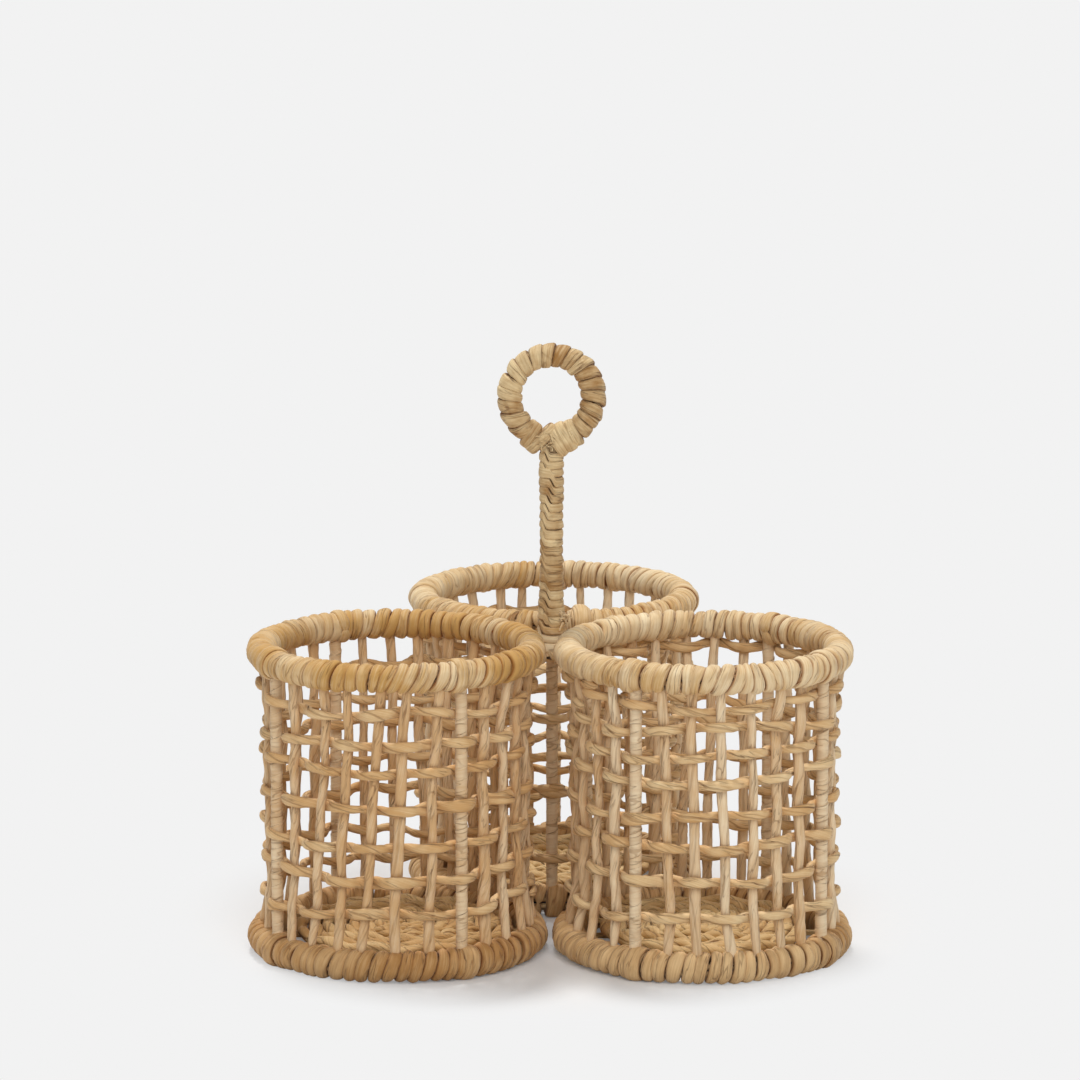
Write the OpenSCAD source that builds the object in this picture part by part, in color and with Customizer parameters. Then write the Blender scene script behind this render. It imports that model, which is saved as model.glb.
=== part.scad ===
// Three-bottle carrier of woven rush on a welded wire frame: three open round baskets set
// in a clover, with a bound stem and a finger ring rising between them.

/* [Baskets] */
// Radius of the rim and base hoops, to the middle of the wire
hoop_r = 62.5; // [56:0.5:72]
// Height of each basket, from the table to the top of the rim
basket_h = 148; // [130:1:190]
// Gap between neighbouring rims
rim_gap = 1; // [0.6:0.1:6]

/* [Wire frame] */
// Thickness of the hoop wire
hoop_wire_d = 3.6; // [3:0.1:4.4]
// Thickness of the upright wires
post_wire_d = 2.6; // [2:0.1:3]
// Thickness of the handle wire
handle_wire_d = 6; // [5:0.1:7]
// Thickness of the three feet that join the stem to the baskets
foot_d = 4; // [3:0.1:4.6]

/* [Rush] */
// Stakes round each basket, the upright wires among them
stake_count = 24; // [20:4:24]
// Thickness of a stake
stake_d = 5.2; // [4.4:0.1:6]
// Thickness of a stake's tucked tip
stake_tip_d = 2; // [1.4:0.1:2.4]
// Length over which a stake tapers to its tip
stake_taper = 12; // [9:0.5:18]
// Thickness of a strand packed round the hoop wire
packing_d = 2.6; // [2.4:0.1:3.6]
// Height of a weaver strand
weaver_h = 5; // [4:0.1:6.4]
// Thickness of a weaver strand, through the wall
weaver_t = 3.6; // [2.6:0.1:4]
// Clear height between the weaving and the hoops
weave_margin = 6; // [5:0.5:12]
// Thickness of the strip that binds the hoops
binding_t = 1.6; // [1.4:0.1:2.4]
// Gap between neighbouring turns of the hoop binding
binding_gap = 0.8; // [0.5:0.1:1.5]

/* [Rows of weaving] */
// Rows in the left basket
left_rows = 7; // [5:1:8]
// Rows in the right basket
right_rows = 8; // [5:1:8]
// Rows in the back basket
back_rows = 7; // [5:1:8]

/* [Floor] */
// Thickness of a floor spoke
spoke_d = 3; // [2.4:0.1:3.2]
// Thickness of the strand coiled on the spokes
coil_d = 5.4; // [4:0.1:6]
// Gap between neighbouring turns of the floor coil
coil_gap = 0.6; // [0.5:0.1:1.5]

/* [Handle] */
// Height of the middle of the finger ring above the table
ring_z = 253.5; // [225:0.5:300]
// Radius of the finger ring, to the middle of its wire
ring_r = 19.5; // [17:0.5:30]
// Thickness of the strip that binds the handle
grip_t = 2.5; // [1.8:0.1:3]
// Gap between neighbouring turns on the handle
grip_gap = 0.6; // [0.5:0.1:1]
// Turns of binding on the stem
stem_turns = 15; // [12:1:18]
// Turns of binding on the ring
ring_turns = 18; // [14:1:18]
// Turns of the lashing at the foot of the stem
hub_turns = 4; // [3:1:5]
// Height of the lashing under the ring
neck_h = 9; // [7:0.5:14]
// Turns of the lashing under the ring
neck_turns = 3; // [2:1:4]
// How far the lashings stand out from the binding
lashing_step = 1.5; // [0.8:0.1:2.4]

/* [Hidden] */

$fn = 48;
fit = 0.1;        // running clearance between pieces that bear on each other
weave_fit = 0.2;  // clearance between a weaver and the stakes that it passes

// Finish colours
steel = "#8d8a84";
rush_pale = "#dcc39a";
rush_mid = "#cfae7d";
rush_warm = "#c49c68";
rush_brown = "#b58f5d";

// A bound hoop, from the wire outwards. Strands are packed round the wire, all but in one
// place, where the stakes come in. The binding is wound over them in straight stretches.
hoop_sides = 6;
side_step = 360 / hoop_sides;
hoop_wire_r = hoop_wire_d / 2;
post_wire_r = post_wire_d / 2;
packing_r = packing_d / 2;
packing_pitch_r = max(hoop_wire_r + packing_r + fit, (post_wire_r + packing_r + fit) / cos(side_step / 2));
packing_out = packing_pitch_r + packing_r;
packing_side = packing_pitch_r * cos(side_step / 2) + packing_r;

// The binding is flat across its width, so its middle dips towards the packing by the sag
stake_step = 360 / stake_count;
binding_sag = (hoop_r + packing_out) * (1 - cos(stake_step / 2));
binding_in = packing_out + fit + binding_sag;
binding_out = binding_in + binding_t;
corner_in = binding_in / cos(side_step / 2);
corner_out = binding_out / cos(side_step / 2);

// Heights
base_z = binding_out;
rim_z = basket_h - binding_out;
base_top = base_z + binding_out;
rim_under = rim_z - binding_out;

// The clover: neighbouring rims stand rim_gap apart, and the origin lies under the middle
// of the whole
basket_d = (2 * (hoop_r + corner_out) + rim_gap) / sqrt(3);
left_turn = 210;
right_turn = 330;
back_turn = 90;
stem_y = -basket_d / 4;

// Stakes taper into the grooves of the bindings and end on the hoop wires. At each quarter
// of the way round, an upright wire in a sleeve stands in a stake's place.
stake_r = stake_d / 2;
stake_tip_r = stake_tip_d / 2;
stake_foot = base_z + hoop_wire_r + fit;
stake_head = rim_z - hoop_wire_r - fit;
stakes_per_quarter = stake_count / 4;
quarter_to_stem = 2;

// Gaps between the turns of a hoop binding: a narrow seam, or a groove at those corners of
// a turn between which stakes and spokes go in
stake_at_groove_r = stake_tip_r + (stake_r - stake_tip_r) * (base_top - stake_foot) / stake_taper;
groove_r = max(stake_at_groove_r, post_wire_r, spoke_d / 2) + 2 * fit;
groove_lean = groove_r / (binding_in * tan(side_step / 2)) * stake_step / hoop_sides / 2;
groove_angle = 2 * atan(groove_r / (hoop_r - corner_out)) + 2 * groove_lean;
seam_angle = 2 * atan(binding_gap / 2 / (hoop_r - corner_out));
rim_open_at = 270;
base_open_at = 90;
rim_grooves = [240, 300];
base_grooves = [60, 120, 180];
quarter_turn_shift = stake_step / 4;  // travel of a groove round the hoop in a quarter turn
rim_start = 64;                       // stretch at which the strip begins, low down by the stem
base_start = 67;

// Weavers pass the stakes inside and outside in turn
wave = stake_r + weaver_t / 2 + weave_fit;            // swing of a weaver to either side
crest_share = 0.85;                                   // half the crest, as a share of a stake's radius
crest_angle = asin(stake_r * crest_share / hoop_r);
strand_rise = weaver_h + 2 * weave_fit;               // a row's end lies on its own beginning
strand_sides = 5;
row_start_step = 5;                                   // stakes from one row's beginning to the next
weave_low = base_top + weave_margin + weaver_h / 2;
weave_high = rim_under - weave_margin - weaver_h / 2 - strand_rise;

// Floor: spokes let into the base binding, with a flat coil on top
spoke_r = spoke_d / 2;
spoke_count = stake_count / 2;
spoke_hub_r = spoke_count * (spoke_d + 2 * fit) / (2 * PI);
spoke_end_r = hoop_r - packing_side - fit;
coil_r = coil_d / 2;
coil_step = (coil_d + coil_gap) / 2;                  // growth of the coil in half a turn
coil_z = base_z + spoke_r + fit + coil_r;
coil_arcs = floor((hoop_r - corner_out - fit - coil_r) / coil_step) - 1;

// Handle
handle_r = handle_wire_d / 2;
foot_r = foot_d / 2;
grip_sides = 6;
grip_in = handle_r / cos(180 / grip_sides) + fit;     // corners of a turn on the stem
grip_out = grip_in + grip_t;
lashing_out = grip_out + lashing_step;
ring_sag = (ring_r + handle_r) * (1 - cos(180 / ring_turns));
ring_grip_in = grip_in + ring_sag;                    // corners of a turn on the ring
ring_grip_out = ring_grip_in + grip_t;
foot_z = rim_under - fit - foot_r;
foot_root = handle_r / 2;                             // a foot begins inside the stem, clear of the others
foot_reach = basket_d - hoop_r - post_wire_r - fit;
stem_top = ring_z - ring_r - handle_r - fit;
neck_high = ring_z - ring_r - ring_grip_out - fit;
neck_low = neck_high - neck_h;
ring_foot_at = -90;                                   // the stem, as seen from the ring's middle
ring_skip = asin((handle_r + 2 * fit) / (ring_r + handle_r));
ring_seam_angle = 2 * atan(grip_gap / 2 / (ring_r - ring_grip_out));
ring_step = (360 - 2 * ring_skip + ring_seam_angle) / (ring_turns + 1);

// Triangles of a tube through rings of equally many points, closed at both ends
function tube_faces(rings, sides) = concat(
  [for (k = [1 : sides - 2]) [0, k, k + 1]],
  [for (k = [1 : sides - 2]) [(rings - 1) * sides, (rings - 1) * sides + k + 1, (rings - 1) * sides + k]],
  [
    for (i = [0 : rings - 2], k = [0 : sides - 1])
      let (near = i * sides + k, beside = i * sides + (k + 1) % sides)
        each [[near, near + sides, beside], [beside, near + sides, beside + sides]]
  ]
);

module tube(rings) {
  polyhedron(points = [for (ring = rings) each ring], faces = tube_faces(len(rings), len(rings[0])));
}

// Least distance between the points of a winding's neighbouring turns
function least_gap(rings, turn) = min([
  for (i = [0 : len(rings) - turn - 1], ahead = [turn - 1 : min(turn + 1, len(rings) - 1 - i)])
    for (p = rings[i], q = rings[i + ahead])
      norm(p - q)
]);

module winding(rings, turn) {
  echo(least_gap_of_winding = least_gap(rings, turn));
  tube(rings);
}

// Cross-section of a strip on a flat hoop, at a place round the hoop and an angle round
// its wire, with its corners half_width degrees of the hoop to either side
function hoop_strip(radius, place, angle, half_width, inside, outside) = [
  for (corner = [[-half_width, inside], [half_width, inside], [half_width, outside], [-half_width, outside]])
    let (reach = radius + corner[1] * cos(angle), turn = place + corner[0])
      [reach * cos(turn), reach * sin(turn), corner[1] * sin(angle)]
];

// Binding of a basket's hoop: one strip, with a turn for each stake less its last stretch
function hoop_winding(start, open_at, grooves) = [
  for (i = [start : start + stake_count * hoop_sides - 1])
    let (
      angle = i * side_step,
      place = stake_step * (1 / 2 + (angle - open_at) / 360),
      gap = len(search((i % hoop_sides) * side_step, grooves)) > 0 ? groove_angle : seam_angle
    )
      hoop_strip(hoop_r, place, angle, (stake_step - gap) / 2, corner_in, corner_out)
];

// A strip wound up the stem between two heights
function stem_winding(low, high, turns, outside) =
  let (pitch = (high - low + grip_gap) / (turns + 1), half_width = (pitch - grip_gap) / 2)
    [
      for (i = [0 : turns * grip_sides])
        let (angle = i * 360 / grip_sides, z = low + half_width + i * pitch / grip_sides)
          [
            for (corner = [
              [grip_in, -half_width], [outside, -half_width], [outside, half_width], [grip_in, half_width]
            ])
              [corner[0] * cos(angle), corner[0] * sin(angle), z + corner[1]]
          ]
    ];

// The strip on the finger ring, as if that lay flat, from one side of the stem to the other
function ring_winding() =
  let (half_width = (ring_step - ring_seam_angle) / 2)
    [
      for (i = [0 : ring_turns * grip_sides])
        let (place = ring_foot_at + ring_skip + half_width + i * ring_step / grip_sides)
          hoop_strip(ring_r, place, 180 + i * 360 / grip_sides, half_width, ring_grip_in, ring_grip_out)
    ];

// One row of weaving: a strand that goes once round and passes its first stake again on top
function weaver_strand(row, low) = [
  for (pass = [0 : stake_count], end = [-1, 1])
    let (
      stake = pass + row * row_start_step,
      side = (stake + row) % 2 == 0 ? 1 : -1,
      place = stake * stake_step + end * crest_angle,
      middle = low + strand_rise * pass / stake_count
    )
      [
        for (k = [0 : strand_sides - 1])
          let (
            around = k * 360 / strand_sides,
            reach = hoop_r + side * wave + weaver_t / 2 * cos(around)
          )
            [reach * cos(place), reach * sin(place), middle + weaver_h / 2 * sin(around)]
      ]
];

// Places a piece of one basket, with +X pointing away from the stem
module in_basket(turn) {
  translate([0, stem_y, 0])
    rotate([0, 0, turn])
      translate([basket_d, 0, 0])
        children();
}

module at_stem() {
  translate([0, stem_y, 0])
    children();
}

// Repeats a piece at each quarter of a basket
module at_quarters() {
  for (quarter = [0 : 3])
    rotate([0, 0, quarter * 90])
      translate([hoop_r, 0, 0]) {
        $quarter = quarter;
        children();
      }
}

// A round bar bent to a flat hoop
module hoop_bar(radius, bar_r) {
  rotate_extrude()
    translate([radius, 0])
      circle(bar_r);
}

// Welded frame of a basket: two hoops and four upright wires
module wire_frame(turn) {
  color(steel)
    in_basket(turn) {
      for (z = [base_z, rim_z])
        translate([0, 0, z])
          hoop_bar(hoop_r, hoop_wire_r);
      at_quarters()
        translate([0, 0, base_z])
          cylinder(r = post_wire_r, h = rim_z - base_z);
    }
}

// Rush sleeves on the upright wires. The one by the stem stops under the foot there.
module post_sleeves(turn) {
  color(rush_pale)
    in_basket(turn)
      at_quarters()
        let (top = $quarter == quarter_to_stem ? foot_z - foot_r - fit : rim_under - fit)
          rotate_extrude()
            translate([post_wire_r + fit, base_top + fit])
              square([stake_r - post_wire_r - fit, top - base_top - fit]);
}

// Strands packed round a hoop wire, all but on the side where the stakes come in
module packing(turn, z, open_at) {
  color(rush_mid)
    in_basket(turn)
      for (i = [1 : hoop_sides - 1])
        let (angle = open_at + i * side_step)
          translate([0, 0, z + packing_pitch_r * sin(angle)])
            hoop_bar(hoop_r + packing_pitch_r * cos(angle), packing_r);
}

module rim_packing(turn) {
  packing(turn, rim_z, rim_open_at);
}

module base_packing(turn) {
  packing(turn, base_z, base_open_at);
}

module rim_binding(turn) {
  color(rush_pale)
    in_basket(turn)
      translate([0, 0, rim_z])
        winding(hoop_winding(rim_start, rim_open_at, rim_grooves), hoop_sides);
}

// Flat underneath, where the basket stands
module base_binding(turn) {
  color(rush_warm)
    in_basket(turn)
      translate([0, 0, base_z])
        winding(hoop_winding(base_start, base_open_at, base_grooves), hoop_sides);
}

// A stake, tapered at both ends to go between the turns of the bindings
module stake() {
  rotate_extrude()
    polygon([
      [0, stake_foot], [stake_tip_r, stake_foot], [stake_r, stake_foot + stake_taper],
      [stake_r, stake_head - stake_taper], [stake_tip_r, stake_head], [0, stake_head]
    ]);
}

module stakes(turn) {
  color(rush_pale)
    in_basket(turn)
      for (i = [0 : stake_count - 1])
        if (i % stakes_per_quarter != 0)
          rotate([0, 0, i * stake_step])
            translate([hoop_r, 0, 0])
              stake();
}

module weavers(turn, rows) {
  color(rush_warm)
    in_basket(turn)
      for (row = [0 : rows - 1])
        tube(weaver_strand(row, weave_low + row * (weave_high - weave_low) / (rows - 1)));
}

module floor_spokes(turn) {
  color(rush_brown)
    in_basket(turn)
      for (i = [0 : spoke_count - 1])
        rotate([0, 0, i * 2 * stake_step + quarter_turn_shift])
          translate([spoke_hub_r, 0, base_z])
            rotate([0, 90, 0])
              cylinder(r = spoke_r, h = spoke_end_r - spoke_hub_r);
}

// A strand laid in a flat coil of half turns, each one step wider than the last
module floor_coil(turn) {
  color(rush_mid)
    in_basket(turn)
      for (i = [0 : coil_arcs - 1])
        translate([i % 2 == 0 ? 0 : -coil_step, 0, coil_z])
          rotate([0, 0, i % 2 == 0 ? 180 : 0])
            rotate_extrude(angle = 180)
              translate([(i + 1) * coil_step, 0])
                circle(coil_r);
}

// Stem with three feet welded on, each of which meets a basket's upright wire under the rim
module stem_wire() {
  color(steel)
    at_stem() {
      translate([0, 0, foot_z - handle_r])
        cylinder(r = handle_r, h = stem_top - foot_z + handle_r);
      for (turn = [left_turn, right_turn, back_turn])
        rotate([0, 0, turn])
          translate([foot_root, 0, foot_z])
            rotate([0, 90, 0])
              cylinder(r = foot_r, h = foot_reach - foot_root);
    }
}

module ring_wire() {
  color(steel)
    at_stem()
      translate([0, 0, ring_z])
        rotate([90, 0, 0])
          hoop_bar(ring_r, handle_r);
}

module stem_binding() {
  color(rush_mid)
    at_stem()
      winding(stem_winding(basket_h + grip_gap, neck_low - grip_gap, stem_turns, grip_out), grip_sides);
}

module ring_binding() {
  color(rush_mid)
    at_stem()
      translate([0, 0, ring_z])
        rotate([90, 0, 0])
          winding(ring_winding(), grip_sides);
}

module neck_lashing() {
  color(rush_warm)
    at_stem()
      winding(stem_winding(neck_low, neck_high, neck_turns, lashing_out), grip_sides);
}

// Wound on the stem between the rims, down to the feet
module hub_lashing() {
  color(rush_pale)
    at_stem()
      winding(stem_winding(rim_under, basket_h, hub_turns, lashing_out), grip_sides);
}

wire_frame(left_turn);  // left_wire_frame
post_sleeves(left_turn);  // left_post_sleeves
rim_packing(left_turn);  // left_rim_packing
rim_binding(left_turn);  // left_rim_binding
base_packing(left_turn);  // left_base_packing
base_binding(left_turn);  // left_base_binding
stakes(left_turn);  // left_stakes
weavers(left_turn, left_rows);  // left_weavers
floor_spokes(left_turn);  // left_floor_spokes
floor_coil(left_turn);  // left_floor_coil
wire_frame(right_turn);  // right_wire_frame
post_sleeves(right_turn);  // right_post_sleeves
rim_packing(right_turn);  // right_rim_packing
rim_binding(right_turn);  // right_rim_binding
base_packing(right_turn);  // right_base_packing
base_binding(right_turn);  // right_base_binding
stakes(right_turn);  // right_stakes
weavers(right_turn, right_rows);  // right_weavers
floor_spokes(right_turn);  // right_floor_spokes
floor_coil(right_turn);  // right_floor_coil
wire_frame(back_turn);  // back_wire_frame
post_sleeves(back_turn);  // back_post_sleeves
rim_packing(back_turn);  // back_rim_packing
rim_binding(back_turn);  // back_rim_binding
base_packing(back_turn);  // back_base_packing
base_binding(back_turn);  // back_base_binding
stakes(back_turn);  // back_stakes
weavers(back_turn, back_rows);  // back_weavers
floor_spokes(back_turn);  // back_floor_spokes
floor_coil(back_turn);  // back_floor_coil
stem_wire();
ring_wire();
stem_binding();
ring_binding();
neck_lashing();
hub_lashing();
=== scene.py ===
"""Looks of a three-bottle carrier of woven rush on a welded wire frame.

Every piece of rush is a strand: a path with the sizes of its section at each point, which one
Geometry Nodes tree turns into a folded, creased and slightly lumpy body. The wires are the
frame's own solids in steel, and the paths take their places from the frame. Lengths are in
millimetres until a path becomes a mesh.
"""

import logging
import math
from dataclasses import dataclass, replace
from enum import Enum

import bpy
import numpy as np
from bpy.types import Material, Node, NodeSocket, NodeTree, Object
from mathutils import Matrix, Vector


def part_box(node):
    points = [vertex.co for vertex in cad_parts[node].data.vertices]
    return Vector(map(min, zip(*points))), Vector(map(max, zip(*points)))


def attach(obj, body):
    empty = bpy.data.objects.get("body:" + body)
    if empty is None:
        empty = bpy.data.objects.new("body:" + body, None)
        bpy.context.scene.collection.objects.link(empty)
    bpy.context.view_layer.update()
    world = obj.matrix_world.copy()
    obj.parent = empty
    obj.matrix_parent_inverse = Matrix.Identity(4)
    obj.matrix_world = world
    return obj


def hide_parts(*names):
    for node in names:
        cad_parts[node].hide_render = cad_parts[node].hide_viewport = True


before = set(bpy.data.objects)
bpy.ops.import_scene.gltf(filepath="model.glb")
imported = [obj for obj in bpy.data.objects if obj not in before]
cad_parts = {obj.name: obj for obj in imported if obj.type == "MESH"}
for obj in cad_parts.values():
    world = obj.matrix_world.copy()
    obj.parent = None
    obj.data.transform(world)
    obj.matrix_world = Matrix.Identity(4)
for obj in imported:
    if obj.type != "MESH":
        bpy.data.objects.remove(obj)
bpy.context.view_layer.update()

LOG = logging.getLogger("carrier")
MM = 0.001   # one millimetre, in metres
TAU = 2 * math.pi
Pair = tuple[float, float]   # the least and the most of what varies, or the two ends of a stretch
BODY = "root"

# What a path says of each of its points, what the tree adds to that, and which of these are lengths
PATH_KINDS = {
    "heading": "FLOAT_VECTOR", "facing": "FLOAT_VECTOR", "half_w": "FLOAT", "half_t": "FLOAT",
    "roll": "FLOAT", "along": "FLOAT", "tone": "FLOAT",
}
TREE_KINDS = {"centre": "FLOAT_VECTOR", "around": "FLOAT"}
LENGTHS = ("half_w", "half_t", "along")

# Kinds of nodes that come often, and a Mix node's sockets for two colours and for their mix
MATH = "ShaderNodeMath"
VECTOR_MATH = "ShaderNodeVectorMath"
MAP_RANGE = "ShaderNodeMapRange"
NOISE = "ShaderNodeTexNoise"
MIX = "ShaderNodeMix"
MIX_FIRST, MIX_SECOND, MIX_RESULT = 6, 7, 2

PHASE_SPREAD = 3 * TAU   # how far a strand's tone turns the place of its folds


def linear(hex_colour: str) -> tuple[float, float, float, float]:
    """Turns an sRGB hex colour into the linear colour that a shader takes.

    Args:
        hex_colour: The colour as "#rrggbb".

    Returns:
        Linear red, green and blue, and an alpha of one.
    """
    parts = [int(hex_colour[i:i + 2], 16) / 255 for i in (1, 3, 5)]
    red, green, blue = (p / 12.92 if p <= 0.04045 else ((p + 0.055) / 1.055) ** 2.4 for p in parts)
    return red, green, blue, 1.0


def add_node(tree: NodeTree, kind: str, feeds: dict | None = None, **settings: object) -> Node:
    """Adds a node to a tree, with its settings, its constants and its links.

    Args:
        tree: The tree that the node goes into.
        kind: Blender's name of the node's type.
        feeds: For each input, by name or number, a constant, a socket, or a node whose first
            output feeds it.
        settings: The node's own properties.

    Returns:
        The new node.
    """
    node = tree.nodes.new(kind)
    for name, value in settings.items():
        setattr(node, name, value)
    for name, value in (feeds or {}).items():
        if isinstance(value, Node):
            value = value.outputs[0]
        if isinstance(value, NodeSocket):
            tree.links.new(value, node.inputs[name])
        else:
            node.inputs[name].default_value = value
    return node


def node_box(node: str) -> tuple[np.ndarray, np.ndarray]:
    """Gives the lowest and highest corners of one node of the frame, in millimetres."""
    low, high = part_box(node)
    return np.array(low) / MM, np.array(high) / MM


def drift(rng: np.random.Generator, count: int, knots: int, size: float) -> np.ndarray:
    """Gives values that wander smoothly, on a Catmull-Rom spline.

    Args:
        rng: The source of random numbers.
        count: How many values to give.
        knots: How many independent values they run through.
        size: Standard deviation of those.

    Returns:
        The values.
    """
    marks = rng.normal(0.0, size, knots + 3)
    at = np.minimum(np.linspace(0.0, knots, count), knots - 1e-6)
    i = at.astype(int)
    f = at - i
    a, b, c, d = marks[i], marks[i + 1], marks[i + 2], marks[i + 3]
    return 0.5 * (2 * b + (c - a) * f + (2 * a - 5 * b + 4 * c - d) * f**2 + (3 * b - a - 3 * c + d) * f**3)


def rounded_ends(count: int, ends: int, least: float) -> np.ndarray:
    """Gives shares of full size that fall off at both ends of a strand, as a blunt end does.

    Args:
        count: Points along the strand.
        ends: Points over which each end is rounded.
        least: Share left at the very end.

    Returns:
        A share for each point.
    """
    steps = np.arange(count)
    near = np.clip(np.minimum(steps, count - 1 - steps) / ends, 0.0, 1.0)
    return least + (1 - least) * np.sqrt(1 - (1 - near) ** 2)


def eased(share: np.ndarray) -> np.ndarray:
    """Eases shares between zero and one at both ends."""
    share = np.clip(share, 0.0, 1.0)
    return share * share * (3 - 2 * share)


def covering(points: np.ndarray, steps: int, overlap: float) -> np.ndarray:
    """Half the width at which a wound strip reaches its own next turns.

    Args:
        points: The strip's path.
        steps: Points in one turn.
        overlap: Width as a share of the way to the next turn.

    Returns:
        Half the width at each point.
    """
    way = np.linalg.norm(points[steps:] - points[:-steps], axis=1)
    ahead = np.concatenate([way, way[-steps:]])
    behind = np.concatenate([way[:steps], way])
    return 0.25 * overlap * (ahead + behind)


def polar(reach: np.ndarray | float, place: np.ndarray, z: np.ndarray | float) -> np.ndarray:
    """Gives points at this reach from the Z axis, at this angle round it and at this height."""
    return np.stack(np.broadcast_arrays(reach * np.cos(place), reach * np.sin(place), z), axis=1)


def on_hoop(bar_r: float, rho: np.ndarray | float, angle: np.ndarray, place: np.ndarray,
            z: float = 0.0) -> tuple[np.ndarray, np.ndarray]:
    """Gives points round a flat hoop's bar, at rho from its middle, and the ways in which they face."""
    points = polar(bar_r + rho * np.cos(angle), place, z + rho * np.sin(angle))
    return points, polar(np.cos(angle), place, np.sin(angle))


@dataclass
class Strand:
    """A strand's path and section: half its width and thickness, its roll, its tone, its twist.

    What is one value for the whole strand may be given as one.
    """

    points: np.ndarray
    facing: np.ndarray | tuple[float, float, float]
    half_w: np.ndarray | float
    half_t: np.ndarray | float
    roll: np.ndarray | float = 0.0
    tone: np.ndarray | float = 0.5
    tightness: float = 1.0
    heading: np.ndarray | None = None

    def __post_init__(self) -> None:
        """Gives every point its values, and a section square to the path unless a heading is given."""
        for name in ("half_w", "half_t", "roll", "tone"):
            setattr(self, name, np.broadcast_to(np.asarray(getattr(self, name), float), len(self.points)))
        self.facing = np.array(np.broadcast_to(self.facing, self.points.shape), float)
        if self.heading is None:
            way = np.gradient(self.points, axis=0)
            self.heading = way / np.linalg.norm(way, axis=1, keepdims=True)

    def moved(self, turn: np.ndarray, offset: np.ndarray) -> "Strand":
        """Turns the strand by a matrix for row vectors, and then shifts it."""
        return replace(
            self, points=self.points @ turn + offset, facing=self.facing @ turn, heading=self.heading @ turn)

    def about_z(self, turn: float, offset: tuple[float, float, float] = (0.0, 0.0, 0.0)) -> "Strand":
        """Turns the strand about Z, in radians, and then shifts it."""
        c, s = math.cos(turn), math.sin(turn)
        return self.moved(np.array([[c, s, 0], [-s, c, 0], [0, 0, 1]]), np.array(offset))

    def along(self) -> np.ndarray:
        """Distance of each point from the strand's beginning."""
        steps = np.linalg.norm(np.diff(self.points, axis=0), axis=1)
        return np.concatenate([[0.0], np.cumsum(steps)])


@dataclass(frozen=True)
class Twist:
    """How a kind of strand is folded and twisted, and how rough it is."""

    sides: int             # points round its section
    lay: float             # length of one twist
    folds: int             # folds round it
    crease: float          # depth of a fold
    lump: float            # how far it swells and shrinks
    square: float = 1.0    # power that shapes its section: an oval at one, boxier below
    ridges: int = 5        # ridges round it
    ridge: float = 0.04    # their height


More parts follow.
